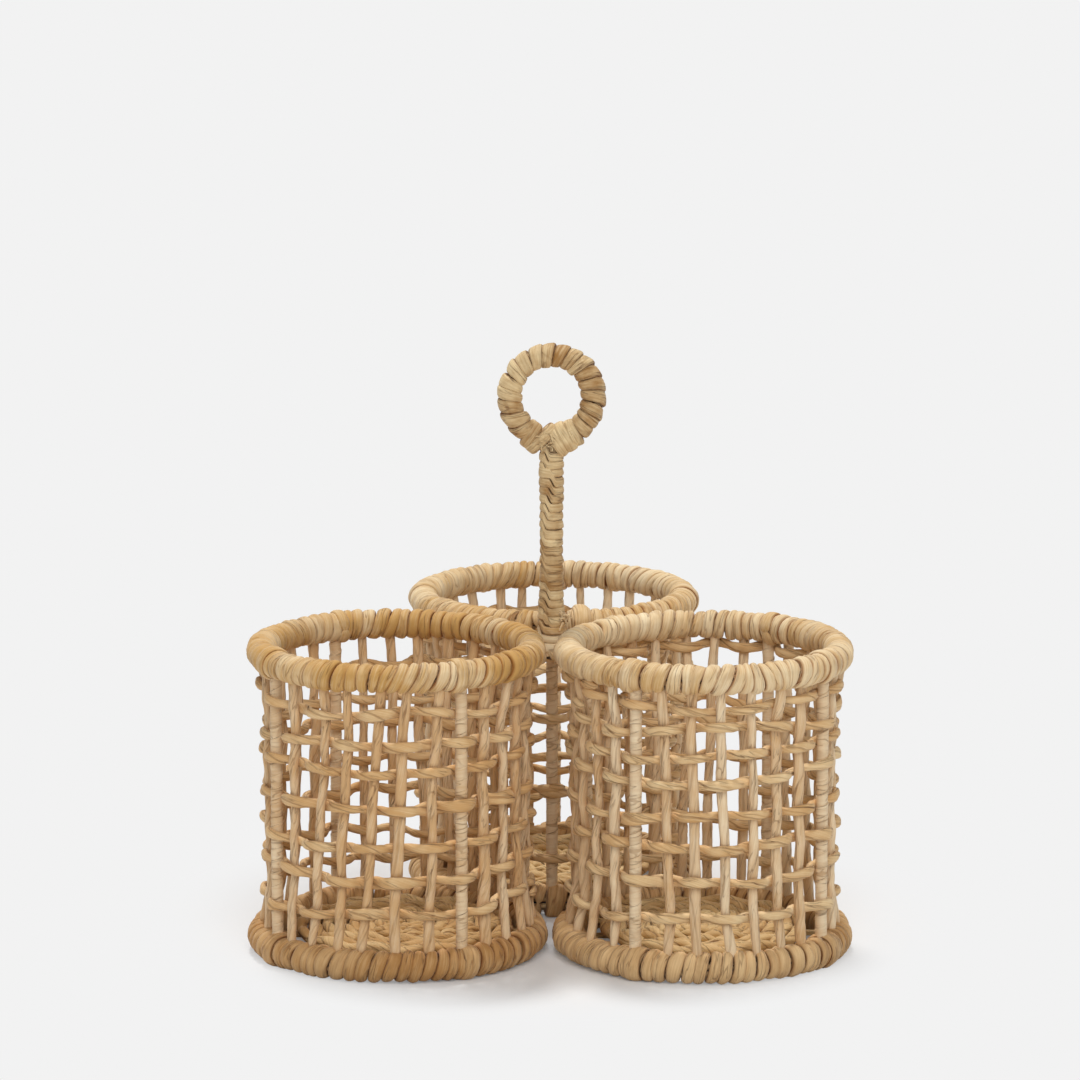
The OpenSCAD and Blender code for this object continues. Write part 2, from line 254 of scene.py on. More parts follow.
class StrandTree:
    """Geometry Nodes tree that grows strands round paths, with named inputs for their twist."""

    INPUTS = {
        "Path": "NodeSocketGeometry", "Sides": "NodeSocketInt", "Lay": "NodeSocketFloat",
        "Folds": "NodeSocketFloat", "Crease depth": "NodeSocketFloat", "Ridges": "NodeSocketFloat",
        "Ridge depth": "NodeSocketFloat", "Lump size": "NodeSocketFloat", "Corner power": "NodeSocketFloat",
        "Seed": "NodeSocketFloat", "Finish": "NodeSocketMaterial",
    }
    LUMP_MM = 7.0          # length over which a strand swells and shrinks
    CREASE_SHARPNESS = 6   # power that narrows a crease

    def __init__(self) -> None:
        """Builds the tree once, for all pieces."""
        self.tree = bpy.data.node_groups.new("rush_strand", "GeometryNodeTree")
        for name, kind in self.INPUTS.items():
            self.tree.interface.new_socket(name, in_out="INPUT", socket_type=kind)
        self.tree.interface.new_socket("Strand", in_out="OUTPUT", socket_type="NodeSocketGeometry")
        self.entry = add_node(self.tree, "NodeGroupInput")
        swept = self._sweep()
        self._read()
        offset = self._section(self._relief())
        self._finish(self._place(swept, offset))

    def _store(self, shape: Node, name: str, value: Node | NodeSocket, kind: str) -> Node:
        """Adds a node that keeps a value on the points under a name.

        Args:
            shape: The points' node.
            name: The name that the value is kept under.
            value: A node, or its socket, with the value.
            kind: The value's kind, in Blender's word.

        Returns:
            The node, whose output is the shape with the value on it.
        """
        return add_node(
            self.tree, "GeometryNodeStoreNamedAttribute",
            {"Geometry": shape, "Name": name, "Value": value}, data_type=kind, domain="POINT",
        )

    def _sweep(self) -> Node:
        """Sweeps a ring of points along each path, and keeps each point's path place and angle.

        Returns:
            The node whose output is the swept skin.
        """
        tree = self.tree
        curve = add_node(tree, "GeometryNodeMeshToCurve", {0: self.entry.outputs["Path"]})
        kept = self._store(curve, "centre", add_node(tree, "GeometryNodeInputPosition"), "FLOAT_VECTOR")
        ring = add_node(tree, "GeometryNodeCurvePrimitiveCircle", {
            "Resolution": self.entry.outputs["Sides"], "Radius": MM,
        }, mode="RADIUS")
        share = add_node(tree, MATH, {
            0: add_node(tree, "GeometryNodeInputIndex"), 1: self.entry.outputs["Sides"],
        }, operation="DIVIDE")
        angle = add_node(tree, MATH, {0: share, 1: TAU}, operation="MULTIPLY")
        ring = self._store(ring, "around", angle, "FLOAT")
        return add_node(tree, "GeometryNodeCurveToMesh", {
            "Curve": kept, "Profile Curve": ring, "Fill Caps": True})

    def _read(self) -> None:
        """Reads the kept values, and works out the directions and the twist at each point."""
        tree = self.tree
        self.read = {
            name: add_node(tree, "GeometryNodeInputNamedAttribute", {"Name": name}, data_type=kind)
            for name, kind in {**PATH_KINDS, **TREE_KINDS}.items()
        }
        side = add_node(tree, VECTOR_MATH, {
            0: self.read["heading"], 1: self.read["facing"]}, operation="CROSS_PRODUCT")
        self.side = add_node(tree, VECTOR_MATH, {0: side}, operation="NORMALIZE")
        self.out = add_node(
            tree, VECTOR_MATH, {0: self.side, 1: self.read["heading"]}, operation="CROSS_PRODUCT")
        self.cosine = add_node(tree, MATH, {0: self.read["around"]}, operation="COSINE")
        self.sine = add_node(tree, MATH, {0: self.read["around"]}, operation="SINE")
        turns = add_node(tree, MATH, {
            0: self.read["along"], 1: self.entry.outputs["Lay"]}, operation="DIVIDE")
        self.spiral = add_node(
            tree, MATH, {0: turns, 1: TAU, 2: self.read["around"]}, operation="MULTIPLY_ADD")

    def _relief(self) -> Node:
        """Adds up how far ridges, creases and lumps move a point out or in.

        Returns:
            The node with that distance.
        """
        tree = self.tree
        phase = add_node(tree, MATH, {0: self.read["tone"], 1: PHASE_SPREAD}, operation="MULTIPLY")
        fold = add_node(tree, MATH, {
            0: self.spiral, 1: self.entry.outputs["Folds"], 2: phase}, operation="MULTIPLY_ADD")
        dip = add_node(tree, MATH, {
            0: add_node(tree, MATH, {0: fold}, operation="COSINE"), 1: 0.0,
        }, operation="MAXIMUM")
        dip = add_node(tree, MATH, {0: dip, 1: self.CREASE_SHARPNESS}, operation="POWER")
        dip = add_node(tree, MATH, {0: dip, 1: self.entry.outputs["Crease depth"]}, operation="MULTIPLY")
        ridge = add_node(tree, MATH, {
            0: self.spiral, 1: self.entry.outputs["Ridges"], 2: phase}, operation="MULTIPLY_ADD")
        ridge = add_node(tree, MATH, {0: ridge}, operation="COSINE")
        relief = add_node(tree, MATH, {
            0: ridge, 1: self.entry.outputs["Ridge depth"]}, operation="MULTIPLY")
        relief = add_node(tree, MATH, {0: relief, 1: dip}, operation="SUBTRACT")
        aside = add_node(tree, MATH, {0: self.sine, 1: MM}, operation="MULTIPLY")
        aside = add_node(tree, VECTOR_MATH, {0: self.out, "Scale": aside}, operation="SCALE")
        bare = add_node(tree, VECTOR_MATH, {0: self.read["centre"], 1: aside}, operation="ADD")
        noise = add_node(tree, NOISE, {
            "Vector": bare, "W": self.entry.outputs["Seed"], "Scale": 1 / (self.LUMP_MM * MM), "Detail": 2.0,
        }, noise_dimensions="4D")
        lump = add_node(tree, MATH, {0: noise, 1: 0.5}, operation="SUBTRACT")
        return add_node(tree, MATH, {
            0: lump, 1: self.entry.outputs["Lump size"], 2: relief}, operation="MULTIPLY_ADD")

    def _section(self, relief: Node) -> Node:
        """Gives each point's offset from the path: a boxy oval, with its relief, rolled.

        Args:
            relief: The node with the height of folds and lumps.

        Returns:
            The node with the offset.
        """
        tree = self.tree
        parts = []
        for wave, half, direction in ((self.cosine, "half_w", self.side), (self.sine, "half_t", self.out)):
            share = add_node(tree, MATH, {
                0: add_node(tree, MATH, {0: wave}, operation="ABSOLUTE"),
                1: self.entry.outputs["Corner power"],
            }, operation="POWER")
            share = add_node(tree, MATH, {
                0: share, 1: add_node(tree, MATH, {0: wave}, operation="SIGN"),
            }, operation="MULTIPLY")
            reach = add_node(tree, MATH, {0: self.read[half], 1: relief}, operation="ADD")
            reach = add_node(tree, MATH, {0: reach, 1: share}, operation="MULTIPLY")
            parts.append(add_node(tree, VECTOR_MATH, {0: direction, "Scale": reach}, operation="SCALE"))
        offset = add_node(tree, VECTOR_MATH, {0: parts[0], 1: parts[1]}, operation="ADD")
        return add_node(tree, "ShaderNodeVectorRotate", {
            "Vector": offset, "Axis": self.read["heading"], "Angle": self.read["roll"],
        }, rotation_type="AXIS_ANGLE")

    def _place(self, swept: Node, offset: Node) -> Node:
        """Moves the points, none of them under the table, and keeps what the finish reads.

        Args:
            swept: The node of the swept skin.
            offset: The node with each point's offset from its path.

        Returns:
            The node of the shaped skin.
        """
        tree = self.tree
        place = add_node(tree, VECTOR_MATH, {0: self.read["centre"], 1: offset}, operation="ADD")
        parts = add_node(tree, "ShaderNodeSeparateXYZ", {0: place})
        above = add_node(tree, MATH, {0: parts.outputs["Z"], 1: 0.0}, operation="MAXIMUM")
        place = add_node(tree, "ShaderNodeCombineXYZ", {
            "X": parts.outputs["X"], "Y": parts.outputs["Y"], "Z": above})
        shaped = add_node(tree, "GeometryNodeSetPosition", {"Geometry": swept, "Position": place})
        girth = add_node(tree, MATH, {0: self.read["half_w"], 1: self.read["half_t"]}, operation="ADD")
        half = add_node(tree, MATH, {0: girth, 1: 0.5}, operation="MULTIPLY")
        ends = [
            add_node(tree, MATH, {
                0: half, 1: add_node(tree, MATH, {0: self.spiral}, operation=wave),
            }, operation="MULTIPLY")
            for wave in ("COSINE", "SINE")
        ]
        fibre = add_node(tree, "ShaderNodeCombineXYZ", {
            "X": ends[0], "Y": ends[1], "Z": self.read["along"]})
        kept = self._store(shaped, "fibre", fibre, "FLOAT_VECTOR")
        kept = self._store(kept, "folds", self.entry.outputs["Folds"], "FLOAT")
        # Mask for the painted shade along a strip's edges, where turns lie against each other
        painted_edge_shade = add_node(tree, MATH, {0: self.cosine}, operation="ABSOLUTE")
        return self._store(kept, "painted_edge_shade", painted_edge_shade, "FLOAT")

    def _finish(self, shaped: Node) -> None:
        """Turns the faces outward, smooths them, makes everything real and sets the finish.

        Args:
            shaped: The node of the shaped skin.
        """
        tree = self.tree
        outward = add_node(tree, "GeometryNodeFlipFaces", {"Mesh": shaped})
        smooth = add_node(tree, "GeometryNodeSetShadeSmooth", {"Geometry": outward})
        real = add_node(tree, "GeometryNodeRealizeInstances", {"Geometry": smooth})
        dressed = add_node(tree, "GeometryNodeSetMaterial", {
            "Geometry": real, "Material": self.entry.outputs["Finish"]})
        add_node(tree, "NodeGroupOutput", {0: dressed})

    def grow(self, name: str, strands: list[Strand], twist: Twist, finish: Material, seed: int) -> Object:
        """Grows one piece from its strands.

        Args:
            name: The piece's name.
            strands: Paths and sizes, in millimetres, in the frame's place.
            twist: How these strands are twisted.
            finish: Their material.
            seed: Seed of the lumps.

        Returns:
            A plain mesh object at the origin.
        """
        counts = [len(s.points) for s in strands]
        starts = np.concatenate([[0], np.cumsum(counts)[:-1]])
        edges = [(start + i, start + i + 1) for start, n in zip(starts, counts) for i in range(n - 1)]
        path = bpy.data.meshes.new(name + "_path")
        path.from_pydata(np.concatenate([s.points for s in strands]) * MM, edges, [])
        for key, kind in PATH_KINDS.items():
            if key == "along":
                values = np.concatenate([s.along() * s.tightness for s in strands])
            else:
                values = np.concatenate([getattr(s, key) for s in strands])
            if key in LENGTHS:
                values = values * MM
            layer = path.attributes.new(key, kind, "POINT")
            slot_name = "vector" if kind == "FLOAT_VECTOR" else "value"
            layer.data.foreach_set(slot_name, values.astype(np.float32).ravel())
        holder = bpy.data.objects.new(name + "_path", path)
        bpy.context.scene.collection.objects.link(holder)
        modifier = holder.modifiers.new("strand", "NODES")
        modifier.node_group = self.tree
        ids = {s.name: s.identifier for s in self.tree.interface.items_tree if s.in_out == "INPUT"}
        given = {
            "Sides": twist.sides, "Lay": twist.lay * MM, "Folds": float(twist.folds),
            "Crease depth": twist.crease * MM, "Ridges": float(twist.ridges),
            "Ridge depth": twist.ridge * MM, "Lump size": twist.lump * MM,
            "Corner power": twist.square, "Seed": float(seed), "Finish": finish,
        }
        for key, value in given.items():
            modifier[ids[key]] = value
        graph = bpy.context.evaluated_depsgraph_get()
        mesh = bpy.data.meshes.new_from_object(
            holder.evaluated_get(graph), preserve_all_data_layers=True, depsgraph=graph)
        holder.modifiers.clear()
        bpy.data.objects.remove(holder)
        bpy.data.meshes.remove(path)
        mesh.name = name
        for key in [*PATH_KINDS, *TREE_KINDS]:
            if key != "tone" and key in mesh.attributes:
                mesh.attributes.remove(mesh.attributes[key])
        piece = bpy.data.objects.new(name, mesh)
        bpy.context.scene.collection.objects.link(piece)
        return piece


@dataclass(frozen=True)
class RushFinish:
    """Dried rush, split and twisted by hand: long fine fibres, a few sharp folds, half matt."""

    name: str
    slot: str
    light: str
    mid: str
    # colour of the painted shade in creases, in wrinkles and along the edges
    painted_shade_colour: str
    crease_shade: float = 0.5            # how dark the painted shade in the folds' creases is
    painted_edge_shade: float = 0.75           # how dark the painted shade along the edges is, where strips lie against each other
    painted_edge_shade_sharpness: float = 14.0  # power that narrows that painted shade
    wander_mm: float = 15.0      # length over which a fold wanders
    wrinkle_mm: float = 1.7      # width between wrinkles
    wrinkle_run_mm: float = 14.0  # length of a wrinkle
    wrinkle: float = 0.4         # how dark the painted shade in the wrinkles is
    fibre_mm: float = 0.5        # width of a bundle of fibres, coarser than the real 0.1 so that it shows
    fibre_run_mm: float = 14.0   # length of a bundle
    blotch_mm: float = 13.0      # size of a patch of other colour
    crease_bump_mm: float = 0.22
    wrinkle_bump_mm: float = 0.28
    fibre_bump_mm: float = 0.07

    TONE_SHARE = 0.5             # how much a strand's tone counts for its colour
    PATCH_SHARE = 1.1            # how much a patch does
    STREAK_SHARE = 1.1           # how much a bundle of fibres does
    WASH = (0.9, 1.8)            # sums of the three at the light colour and at the middle one
    ROUGHNESS = (0.55, 0.8)      # of the smoothest and the roughest fibres
    CREASE_WANDER = 4.0            # how far noise moves a fold's line round the strand, in radians
    CREASE_FROM = 0.86             # cosine of the angle from a fold at which its line begins
    WRINKLE_HALF = 0.04          # noise that a wrinkle covers on each side of the middle value
    WRINKLE_HERE = (0.46, 0.6)   # noise between which wrinkles come in

    # Dry plant matter: little gloss, and the faint sheen of fine fibres
    LEAF = {"IOR": 1.45, "Specular IOR Level": 0.35, "Sheen Weight": 0.1, "Sheen Roughness": 0.45}

    def material(self) -> Material:
        """Builds the material, which follows the strand's own fibre coordinates.

        Returns:
            The material.
        """
        material = bpy.data.materials.new(self.name)
        material.use_nodes = True
        tree = material.node_tree
        tree.nodes.clear()
        read = {
            name: add_node(tree, "ShaderNodeAttribute", attribute_name=name)
            for name in ("fibre", "tone", "painted_edge_shade", "folds")
        }
        # Painted shade in the creases of the folds, whose line also dents the bump
        crease_shade = self._crease_shade(tree, read)
        # Wrinkles, dented by the bump and darkened with painted shade
        wrinkle = self._wrinkle(tree, read["fibre"])
        streak = add_node(tree, NOISE, {
            "Vector": self._stretched(tree, read["fibre"], self.fibre_mm, self.fibre_run_mm),
            "Scale": 1.0, "Detail": 3.0, "Roughness": 0.6,
        })
        place = add_node(tree, "ShaderNodeTexCoord")
        patch = add_node(tree, NOISE, {
            "Vector": place.outputs["Object"], "Scale": 1 / (self.blotch_mm * MM), "Detail": 4.0})

        # From the light colour to the middle one, by strand, by patch and by fibre
        wash = add_node(tree, MATH, {
            0: read["tone"].outputs["Fac"], 1: self.TONE_SHARE}, operation="MULTIPLY")
        for part, share in ((patch, self.PATCH_SHARE), (streak, self.STREAK_SHARE)):
            wash = add_node(tree, MATH, {0: part, 1: share, 2: wash}, operation="MULTIPLY_ADD")
        wash = add_node(tree, MAP_RANGE, {
            "Value": wash, "From Min": self.WASH[0], "From Max": self.WASH[1]})
        colour = add_node(tree, MIX, {
            0: wash, MIX_FIRST: linear(self.light), MIX_SECOND: linear(self.mid)}, data_type="RGBA")

        # Towards the colour of painted shade: painted shade in the folds' creases, in the wrinkles and along
        # the edges
        shade = add_node(tree, MATH, {
            0: read["painted_edge_shade"].outputs["Fac"], 1: self.painted_edge_shade_sharpness}, operation="POWER")
        shade = add_node(tree, MATH, {0: shade, 1: self.painted_edge_shade}, operation="MULTIPLY")
        for line, dark in ((crease_shade, self.crease_shade), (wrinkle, self.wrinkle)):
            shade = add_node(tree, MATH, {
                0: line, 1: dark, 2: shade}, operation="MULTIPLY_ADD", use_clamp=True)
        colour = add_node(tree, MIX, {
            0: shade, MIX_FIRST: colour.outputs[MIX_RESULT], MIX_SECOND: linear(self.painted_shade_colour),
        }, data_type="RGBA")

        rough = add_node(tree, MAP_RANGE, {
            "Value": streak, "To Min": self.ROUGHNESS[0], "To Max": self.ROUGHNESS[1]})
        relief = None
        for height, depth in (
            (crease_shade, -self.crease_bump_mm), (wrinkle, -self.wrinkle_bump_mm), (streak, self.fibre_bump_mm),
        ):
            feeds = {"Height": height, "Distance": abs(depth) * MM, "Strength": 1.0}
            if relief is not None:
                feeds["Normal"] = relief
            relief = add_node(tree, "ShaderNodeBump", feeds, invert=depth < 0)
        surface = add_node(tree, "ShaderNodeBsdfPrincipled", {
            "Base Color": colour.outputs[MIX_RESULT], "Roughness": rough, "Normal": relief, **self.LEAF})
        add_node(tree, "ShaderNodeOutputMaterial", {"Surface": surface})
        return material

    @staticmethod
    def _stretched(tree: NodeTree, fibre: Node, width: float, run: float) -> Node:
        """Scales the fibre coordinates for a noise.

        Args:
            tree: The material's tree.
            fibre: The node that reads the fibre coordinates.
            width: How wide the noise is across the fibres, in millimetres.
            run: How far it runs along them, in millimetres.

        Returns:
            The node with the scaled coordinates.
        """
        return add_node(tree, VECTOR_MATH, {
            0: fibre.outputs["Vector"], 1: (1 / (width * MM), 1 / (width * MM), 1 / (run * MM)),
        }, operation="MULTIPLY")

    def _crease_shade(self, tree: NodeTree, read: dict[str, Node]) -> Node:
        """Draws painted shade: a fine dark line at the bottom of each fold's crease, which wanders a little.

        Args:
            tree: The material's tree.
            read: The nodes that read the kept values, by name.

        Returns:
            The node with the line's strength.
        """
        parts = add_node(tree, "ShaderNodeSeparateXYZ", {0: read["fibre"].outputs["Vector"]})
        angle = add_node(tree, MATH, {0: parts.outputs["Y"], 1: parts.outputs["X"]}, operation="ARCTAN2")
        phase = add_node(tree, MATH, {
            0: read["tone"].outputs["Fac"], 1: PHASE_SPREAD}, operation="MULTIPLY")
        phase = add_node(tree, MATH, {
            0: angle, 1: read["folds"].outputs["Fac"], 2: phase}, operation="MULTIPLY_ADD")
        wander = add_node(tree, NOISE, {
            "Vector": self._stretched(tree, read["fibre"], self.wander_mm, self.wander_mm),
            "Scale": 1.0, "Detail": 2.0,
        })
        wander = add_node(tree, MATH, {0: wander, 1: 0.5}, operation="SUBTRACT")
        phase = add_node(tree, MATH, {0: wander, 1: self.CREASE_WANDER, 2: phase}, operation="MULTIPLY_ADD")
        line = add_node(tree, MATH, {0: phase}, operation="COSINE")
        return add_node(tree, MAP_RANGE, {
            "Value": line, "From Min": self.CREASE_FROM, "From Max": 1.0}, interpolation_type="SMOOTHSTEP")

    def _wrinkle(self, tree: NodeTree, fibre: Node) -> Node:
        """Draws short wrinkles, here and there along the strand, for the bump and for the painted shade in
        them.

        Args:
            tree: The material's tree.
            fibre: The node that reads the fibre coordinates.

        Returns:
            The node with the wrinkles' strength.
        """
        noise = add_node(tree, NOISE, {
            "Vector": self._stretched(tree, fibre, self.wrinkle_mm, self.wrinkle_run_mm),
            "Scale": 1.0, "Detail": 1.0,
        })
        off = add_node(tree, MATH, {0: noise, 1: 0.5}, operation="SUBTRACT")
        off = add_node(tree, MATH, {0: off}, operation="ABSOLUTE")
        line = add_node(tree, MAP_RANGE, {
            "Value": off, "From Min": 0.0, "From Max": self.WRINKLE_HALF, "To Min": 1.0, "To Max": 0.0,
        }, interpolation_type="SMOOTHSTEP")
        here = add_node(tree, NOISE, {
            "Vector": self._stretched(tree, fibre, self.wrinkle_mm * 2, self.wrinkle_run_mm),
            "W": 1.0, "Scale": 1.0, "Detail": 1.0,
        }, noise_dimensions="4D")
        here = add_node(tree, MAP_RANGE, {
            "Value": here, "From Min": self.WRINKLE_HERE[0], "From Max": self.WRINKLE_HERE[1],
        }, interpolation_type="SMOOTHSTEP")
        return add_node(tree, MATH, {0: line, 1: here}, operation="MULTIPLY")


@dataclass(frozen=True)
class WireFinish:
    """Drawn steel wire: bright, with a fine grain and a dull film here and there."""

    name: str = "drawn_steel_wire"
    slot: str = "steel_wire"
    colour: str = "#9c9a96"
    film: str = "#6f6b64"
    grain_mm: float = 0.3  # size of the grain, coarser than the real 0.05 so that it shows
    film_mm: float = 9.0   # size of a dull patch
    grain_bump_mm: float = 0.02

    ROUGHNESS = (0.26, 0.48)   # of the grain's smoothest and roughest places
    BUMP = 0.6                 # strength of its relief

    def material(self) -> Material:
        """Builds the metal, on the object's own coordinates.

        Returns:
            The material.
        """
        material = bpy.data.materials.new(self.name)
        material.use_nodes = True
        tree = material.node_tree
        tree.nodes.clear()
        place = add_node(tree, "ShaderNodeTexCoord")
        grain = add_node(tree, NOISE, {
            "Vector": place.outputs["Object"], "Scale": 1 / (self.grain_mm * MM), "Detail": 2.0})
        patch = add_node(tree, NOISE, {
            "Vector": place.outputs["Object"], "Scale": 1 / (self.film_mm * MM), "Detail": 4.0})
        colour = add_node(tree, MIX, {
            0: patch, MIX_FIRST: linear(self.colour), MIX_SECOND: linear(self.film)}, data_type="RGBA")
        rough = add_node(tree, MAP_RANGE, {
            "Value": grain, "To Min": self.ROUGHNESS[0], "To Max": self.ROUGHNESS[1]})
        relief = add_node(tree, "ShaderNodeBump", {
            "Height": grain, "Distance": self.grain_bump_mm * MM, "Strength": self.BUMP})
        surface = add_node(tree, "ShaderNodeBsdfPrincipled", {
            "Base Color": colour.outputs[MIX_RESULT], "Roughness": rough, "Normal": relief, "Metallic": 1.0})
        add_node(tree, "ShaderNodeOutputMaterial", {"Surface": surface})
        return material


class Finish(Enum):
    """The carrier's finishes."""

    # Pale flat strip of dried rush, bound on the rims: straw yellow with long wrinkles, and painted shade
    # in the wrinkles and where turns lie against each other
    RIM = RushFinish(
        "pale_rush_strip", "rush_pale", "#f5e0b9", "#c79a58", "#8a4b0c", crease_shade=0.16, painted_edge_shade=0.85, wrinkle=0.42)
    # Pale dried rush, twisted into a cord for the stakes: cream, with fine folds that wind up it
    STAKE = RushFinish("pale_rush_cord", "rush_pale", "#f3ddb9", "#d4ab79", "#7d4a18", crease_shade=0.25, painted_edge_shade=0.05)
    # Pale thin strip of dried rush, wound smoothly on the posts: even and nearly without folds
    SLEEVE = RushFinish(
        "pale_rush_sleeve", "rush_pale", "#f0dcba", "#d6b285", "#8a5a2a", crease_shade=0.1, painted_edge_shade=0.25)
    # Browner flat strip of dried rush, bound on the bases: tan, with long wrinkles, and painted shade along
    # the edges and in the wrinkles
    BASE = RushFinish(
        "tan_rush_strip", "rush_golden", "#e6c390", "#b4854e", "#6a370a", crease_shade=0.14, painted_edge_shade=0.85,
        wrinkle=0.42)
    # Golden dried rush, twisted into a cord for the rows of weaving: warm, with slanting folds and painted
    # shade in their creases
    WEAVER = RushFinish(
        "golden_rush_cord", "rush_golden", "#f0d5a6", "#d1a46c", "#74400f", crease_shade=0.4, painted_edge_shade=0.05)
    # Golden dried rush, twisted thickly for the floor: deeply creased folds, close together like a rope's,
    # with painted shade in their creases
    FLOOR = RushFinish(
        "golden_rush_mat", "rush_floor", "#ecd09a", "#c49a60", "#6a3a0c", crease_shade=0.45, painted_edge_shade=0.1)
    # Cream flat strip of dried rush, bound on the stem and the ring: browner than the rims in small
    # patches, with the darkest painted shade along the edges
    STEM = RushFinish(
        "cream_rush_strip", "rush_cream", "#efd6a6", "#a67840", "#6a3808", crease_shade=0.15, painted_edge_shade=0.95, wrinkle=0.5,
        blotch_mm=7.0)
    # Cream dried rush, packed round the hoops' wires under the binding: plain, as it hardly shows
    PACKING = RushFinish("cream_rush_cord", "rush_cream", "#dcbf90", "#b78c58", "#5c330c", painted_edge_shade=0.05)
    # Drawn steel wire of the hoops, posts, stem and ring: a soft grey shine, duller in patches
    STEEL = WireFinish()


class Workshop:
    """Makes pieces: grows them, puts them on the frame's body and reports them."""

    def __init__(self) -> None:
        """Builds the tree and the materials that all pieces share."""
        self.tree = StrandTree()
        self.materials = {finish: finish.value.material() for finish in Finish}
        self.seed = 0

    def rush(self, node: str, strands: list[Strand], twist: Twist, finish: Finish) -> Object:
        """Makes the rush that stands for one node of the frame.

        Args:
            node: The node's name, which the piece takes with an ending.
            strands: The piece's strands, in the frame's place.
            twist: How they are twisted.
            finish: Their finish.

        Returns:
            The finished piece.
        """
        self.seed += 1
        piece = self.tree.grow(node + "_rush", strands, twist, self.materials[finish], self.seed)
        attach(piece, BODY)
        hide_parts(node)
        LOG.info("%s: %d strands, %d faces", piece.name, len(strands), len(piece.data.polygons))
        return piece

    def wire(self, node: str) -> Object:
        """Dresses a wire of the frame in steel.

        Args:
            node: The wire's node in the frame.

        Returns:
            The wire itself, which keeps its solid.
        """
        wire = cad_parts[node]
        wire.data.materials.clear()
        wire.data.materials.append(self.materials[Finish.STEEL])
        LOG.info("%s: dressed in steel", node)
        return wire


@dataclass(frozen=True)
class Winding:
    """A strip wound on the round bar of a hoop."""

    turns: int
    reach: float               # distance of its middle from the bar's
    half_t: float              # half its thickness
    overlap: float = 1.10      # width of a turn as a share of the way to the next one
    uneven: float = 0.15       # how much turns differ in width
    lift: float = 0.25         # how much they differ in height
    lean: float = 0.9          # how far they lean
    shingle: float = 0.14      # roll of a turn onto the one before
    patchy: float = 0.16       # how much turns differ in colour from their neighbours
    steps: int = 20            # points in a turn

    WIDTHS = (0.65, 1.45)      # limits of a turn's width, as shares of the mean one
    THICKNESSES = (0.75, 1.25)  # limits of its thickness
    THICK_SPREAD = 0.12        # how much turns differ in thickness
    OWN_LEAN = 0.3             # share of the lean by which a turn differs from its neighbours
    LEAN_RUN = 4               # turns over which the lean wanders
    TONE_RUN = 5               # turns over which the colour wanders
    TONE_DRIFT = 0.3           # how far the colour wanders
    ROLL_DRIFT = 0.07          # how far the roll wanders
    END_LEFT = 0.25            # share of the section that is left at the strip's ends

    def strip(self, rng: np.random.Generator, start: float, span: float, bar_r: float) -> Strand:
        """Winds the strip on a hoop that lies flat round the origin.

        Args:
            rng: The source of its unevenness.
            start: Angle round the hoop at which it begins.
            span: Angle that it covers.
            bar_r: Radius of the hoop.

        Returns:
            The strip.
        """
        count = self.turns * self.steps + 1
        u = np.arange(count) / self.steps
        turn_at = np.arange(self.turns) + 0.5
        angle = TAU * u
        widths = np.clip(rng.normal(1.0, self.uneven, self.turns), *self.WIDTHS)
        marks = np.concatenate([[0.0], np.cumsum(widths)]) * span / widths.sum()
        lean = drift(rng, count, knots=self.turns // self.LEAN_RUN, size=self.lean) + np.interp(
            u, turn_at, rng.normal(0.0, self.lean * self.OWN_LEAN, self.turns))
        place = start + np.interp(u, np.arange(self.turns + 1), marks) + lean * np.sin(angle) / bar_r
        rho = self.reach + np.interp(u, turn_at, rng.uniform(-self.lift, self.lift, self.turns))
        points, facing = on_hoop(bar_r, rho, angle, place)
        ends = rounded_ends(count, ends=self.steps // 3, least=self.END_LEFT)
        thick = np.clip(rng.normal(1.0, self.THICK_SPREAD, self.turns), *self.THICKNESSES)
        tone = 0.5 + drift(rng, count, knots=self.turns // self.TONE_RUN, size=self.TONE_DRIFT) + np.interp(
            u, turn_at, rng.normal(0.0, self.patchy, self.turns))
        return Strand(
            points, facing, covering(points, self.steps, self.overlap) * ends,
            self.half_t * np.interp(u, turn_at, thick) * ends,
            self.shingle + drift(rng, count, knots=self.turns, size=self.ROLL_DRIFT),
            np.clip(tone, 0.0, 1.0))


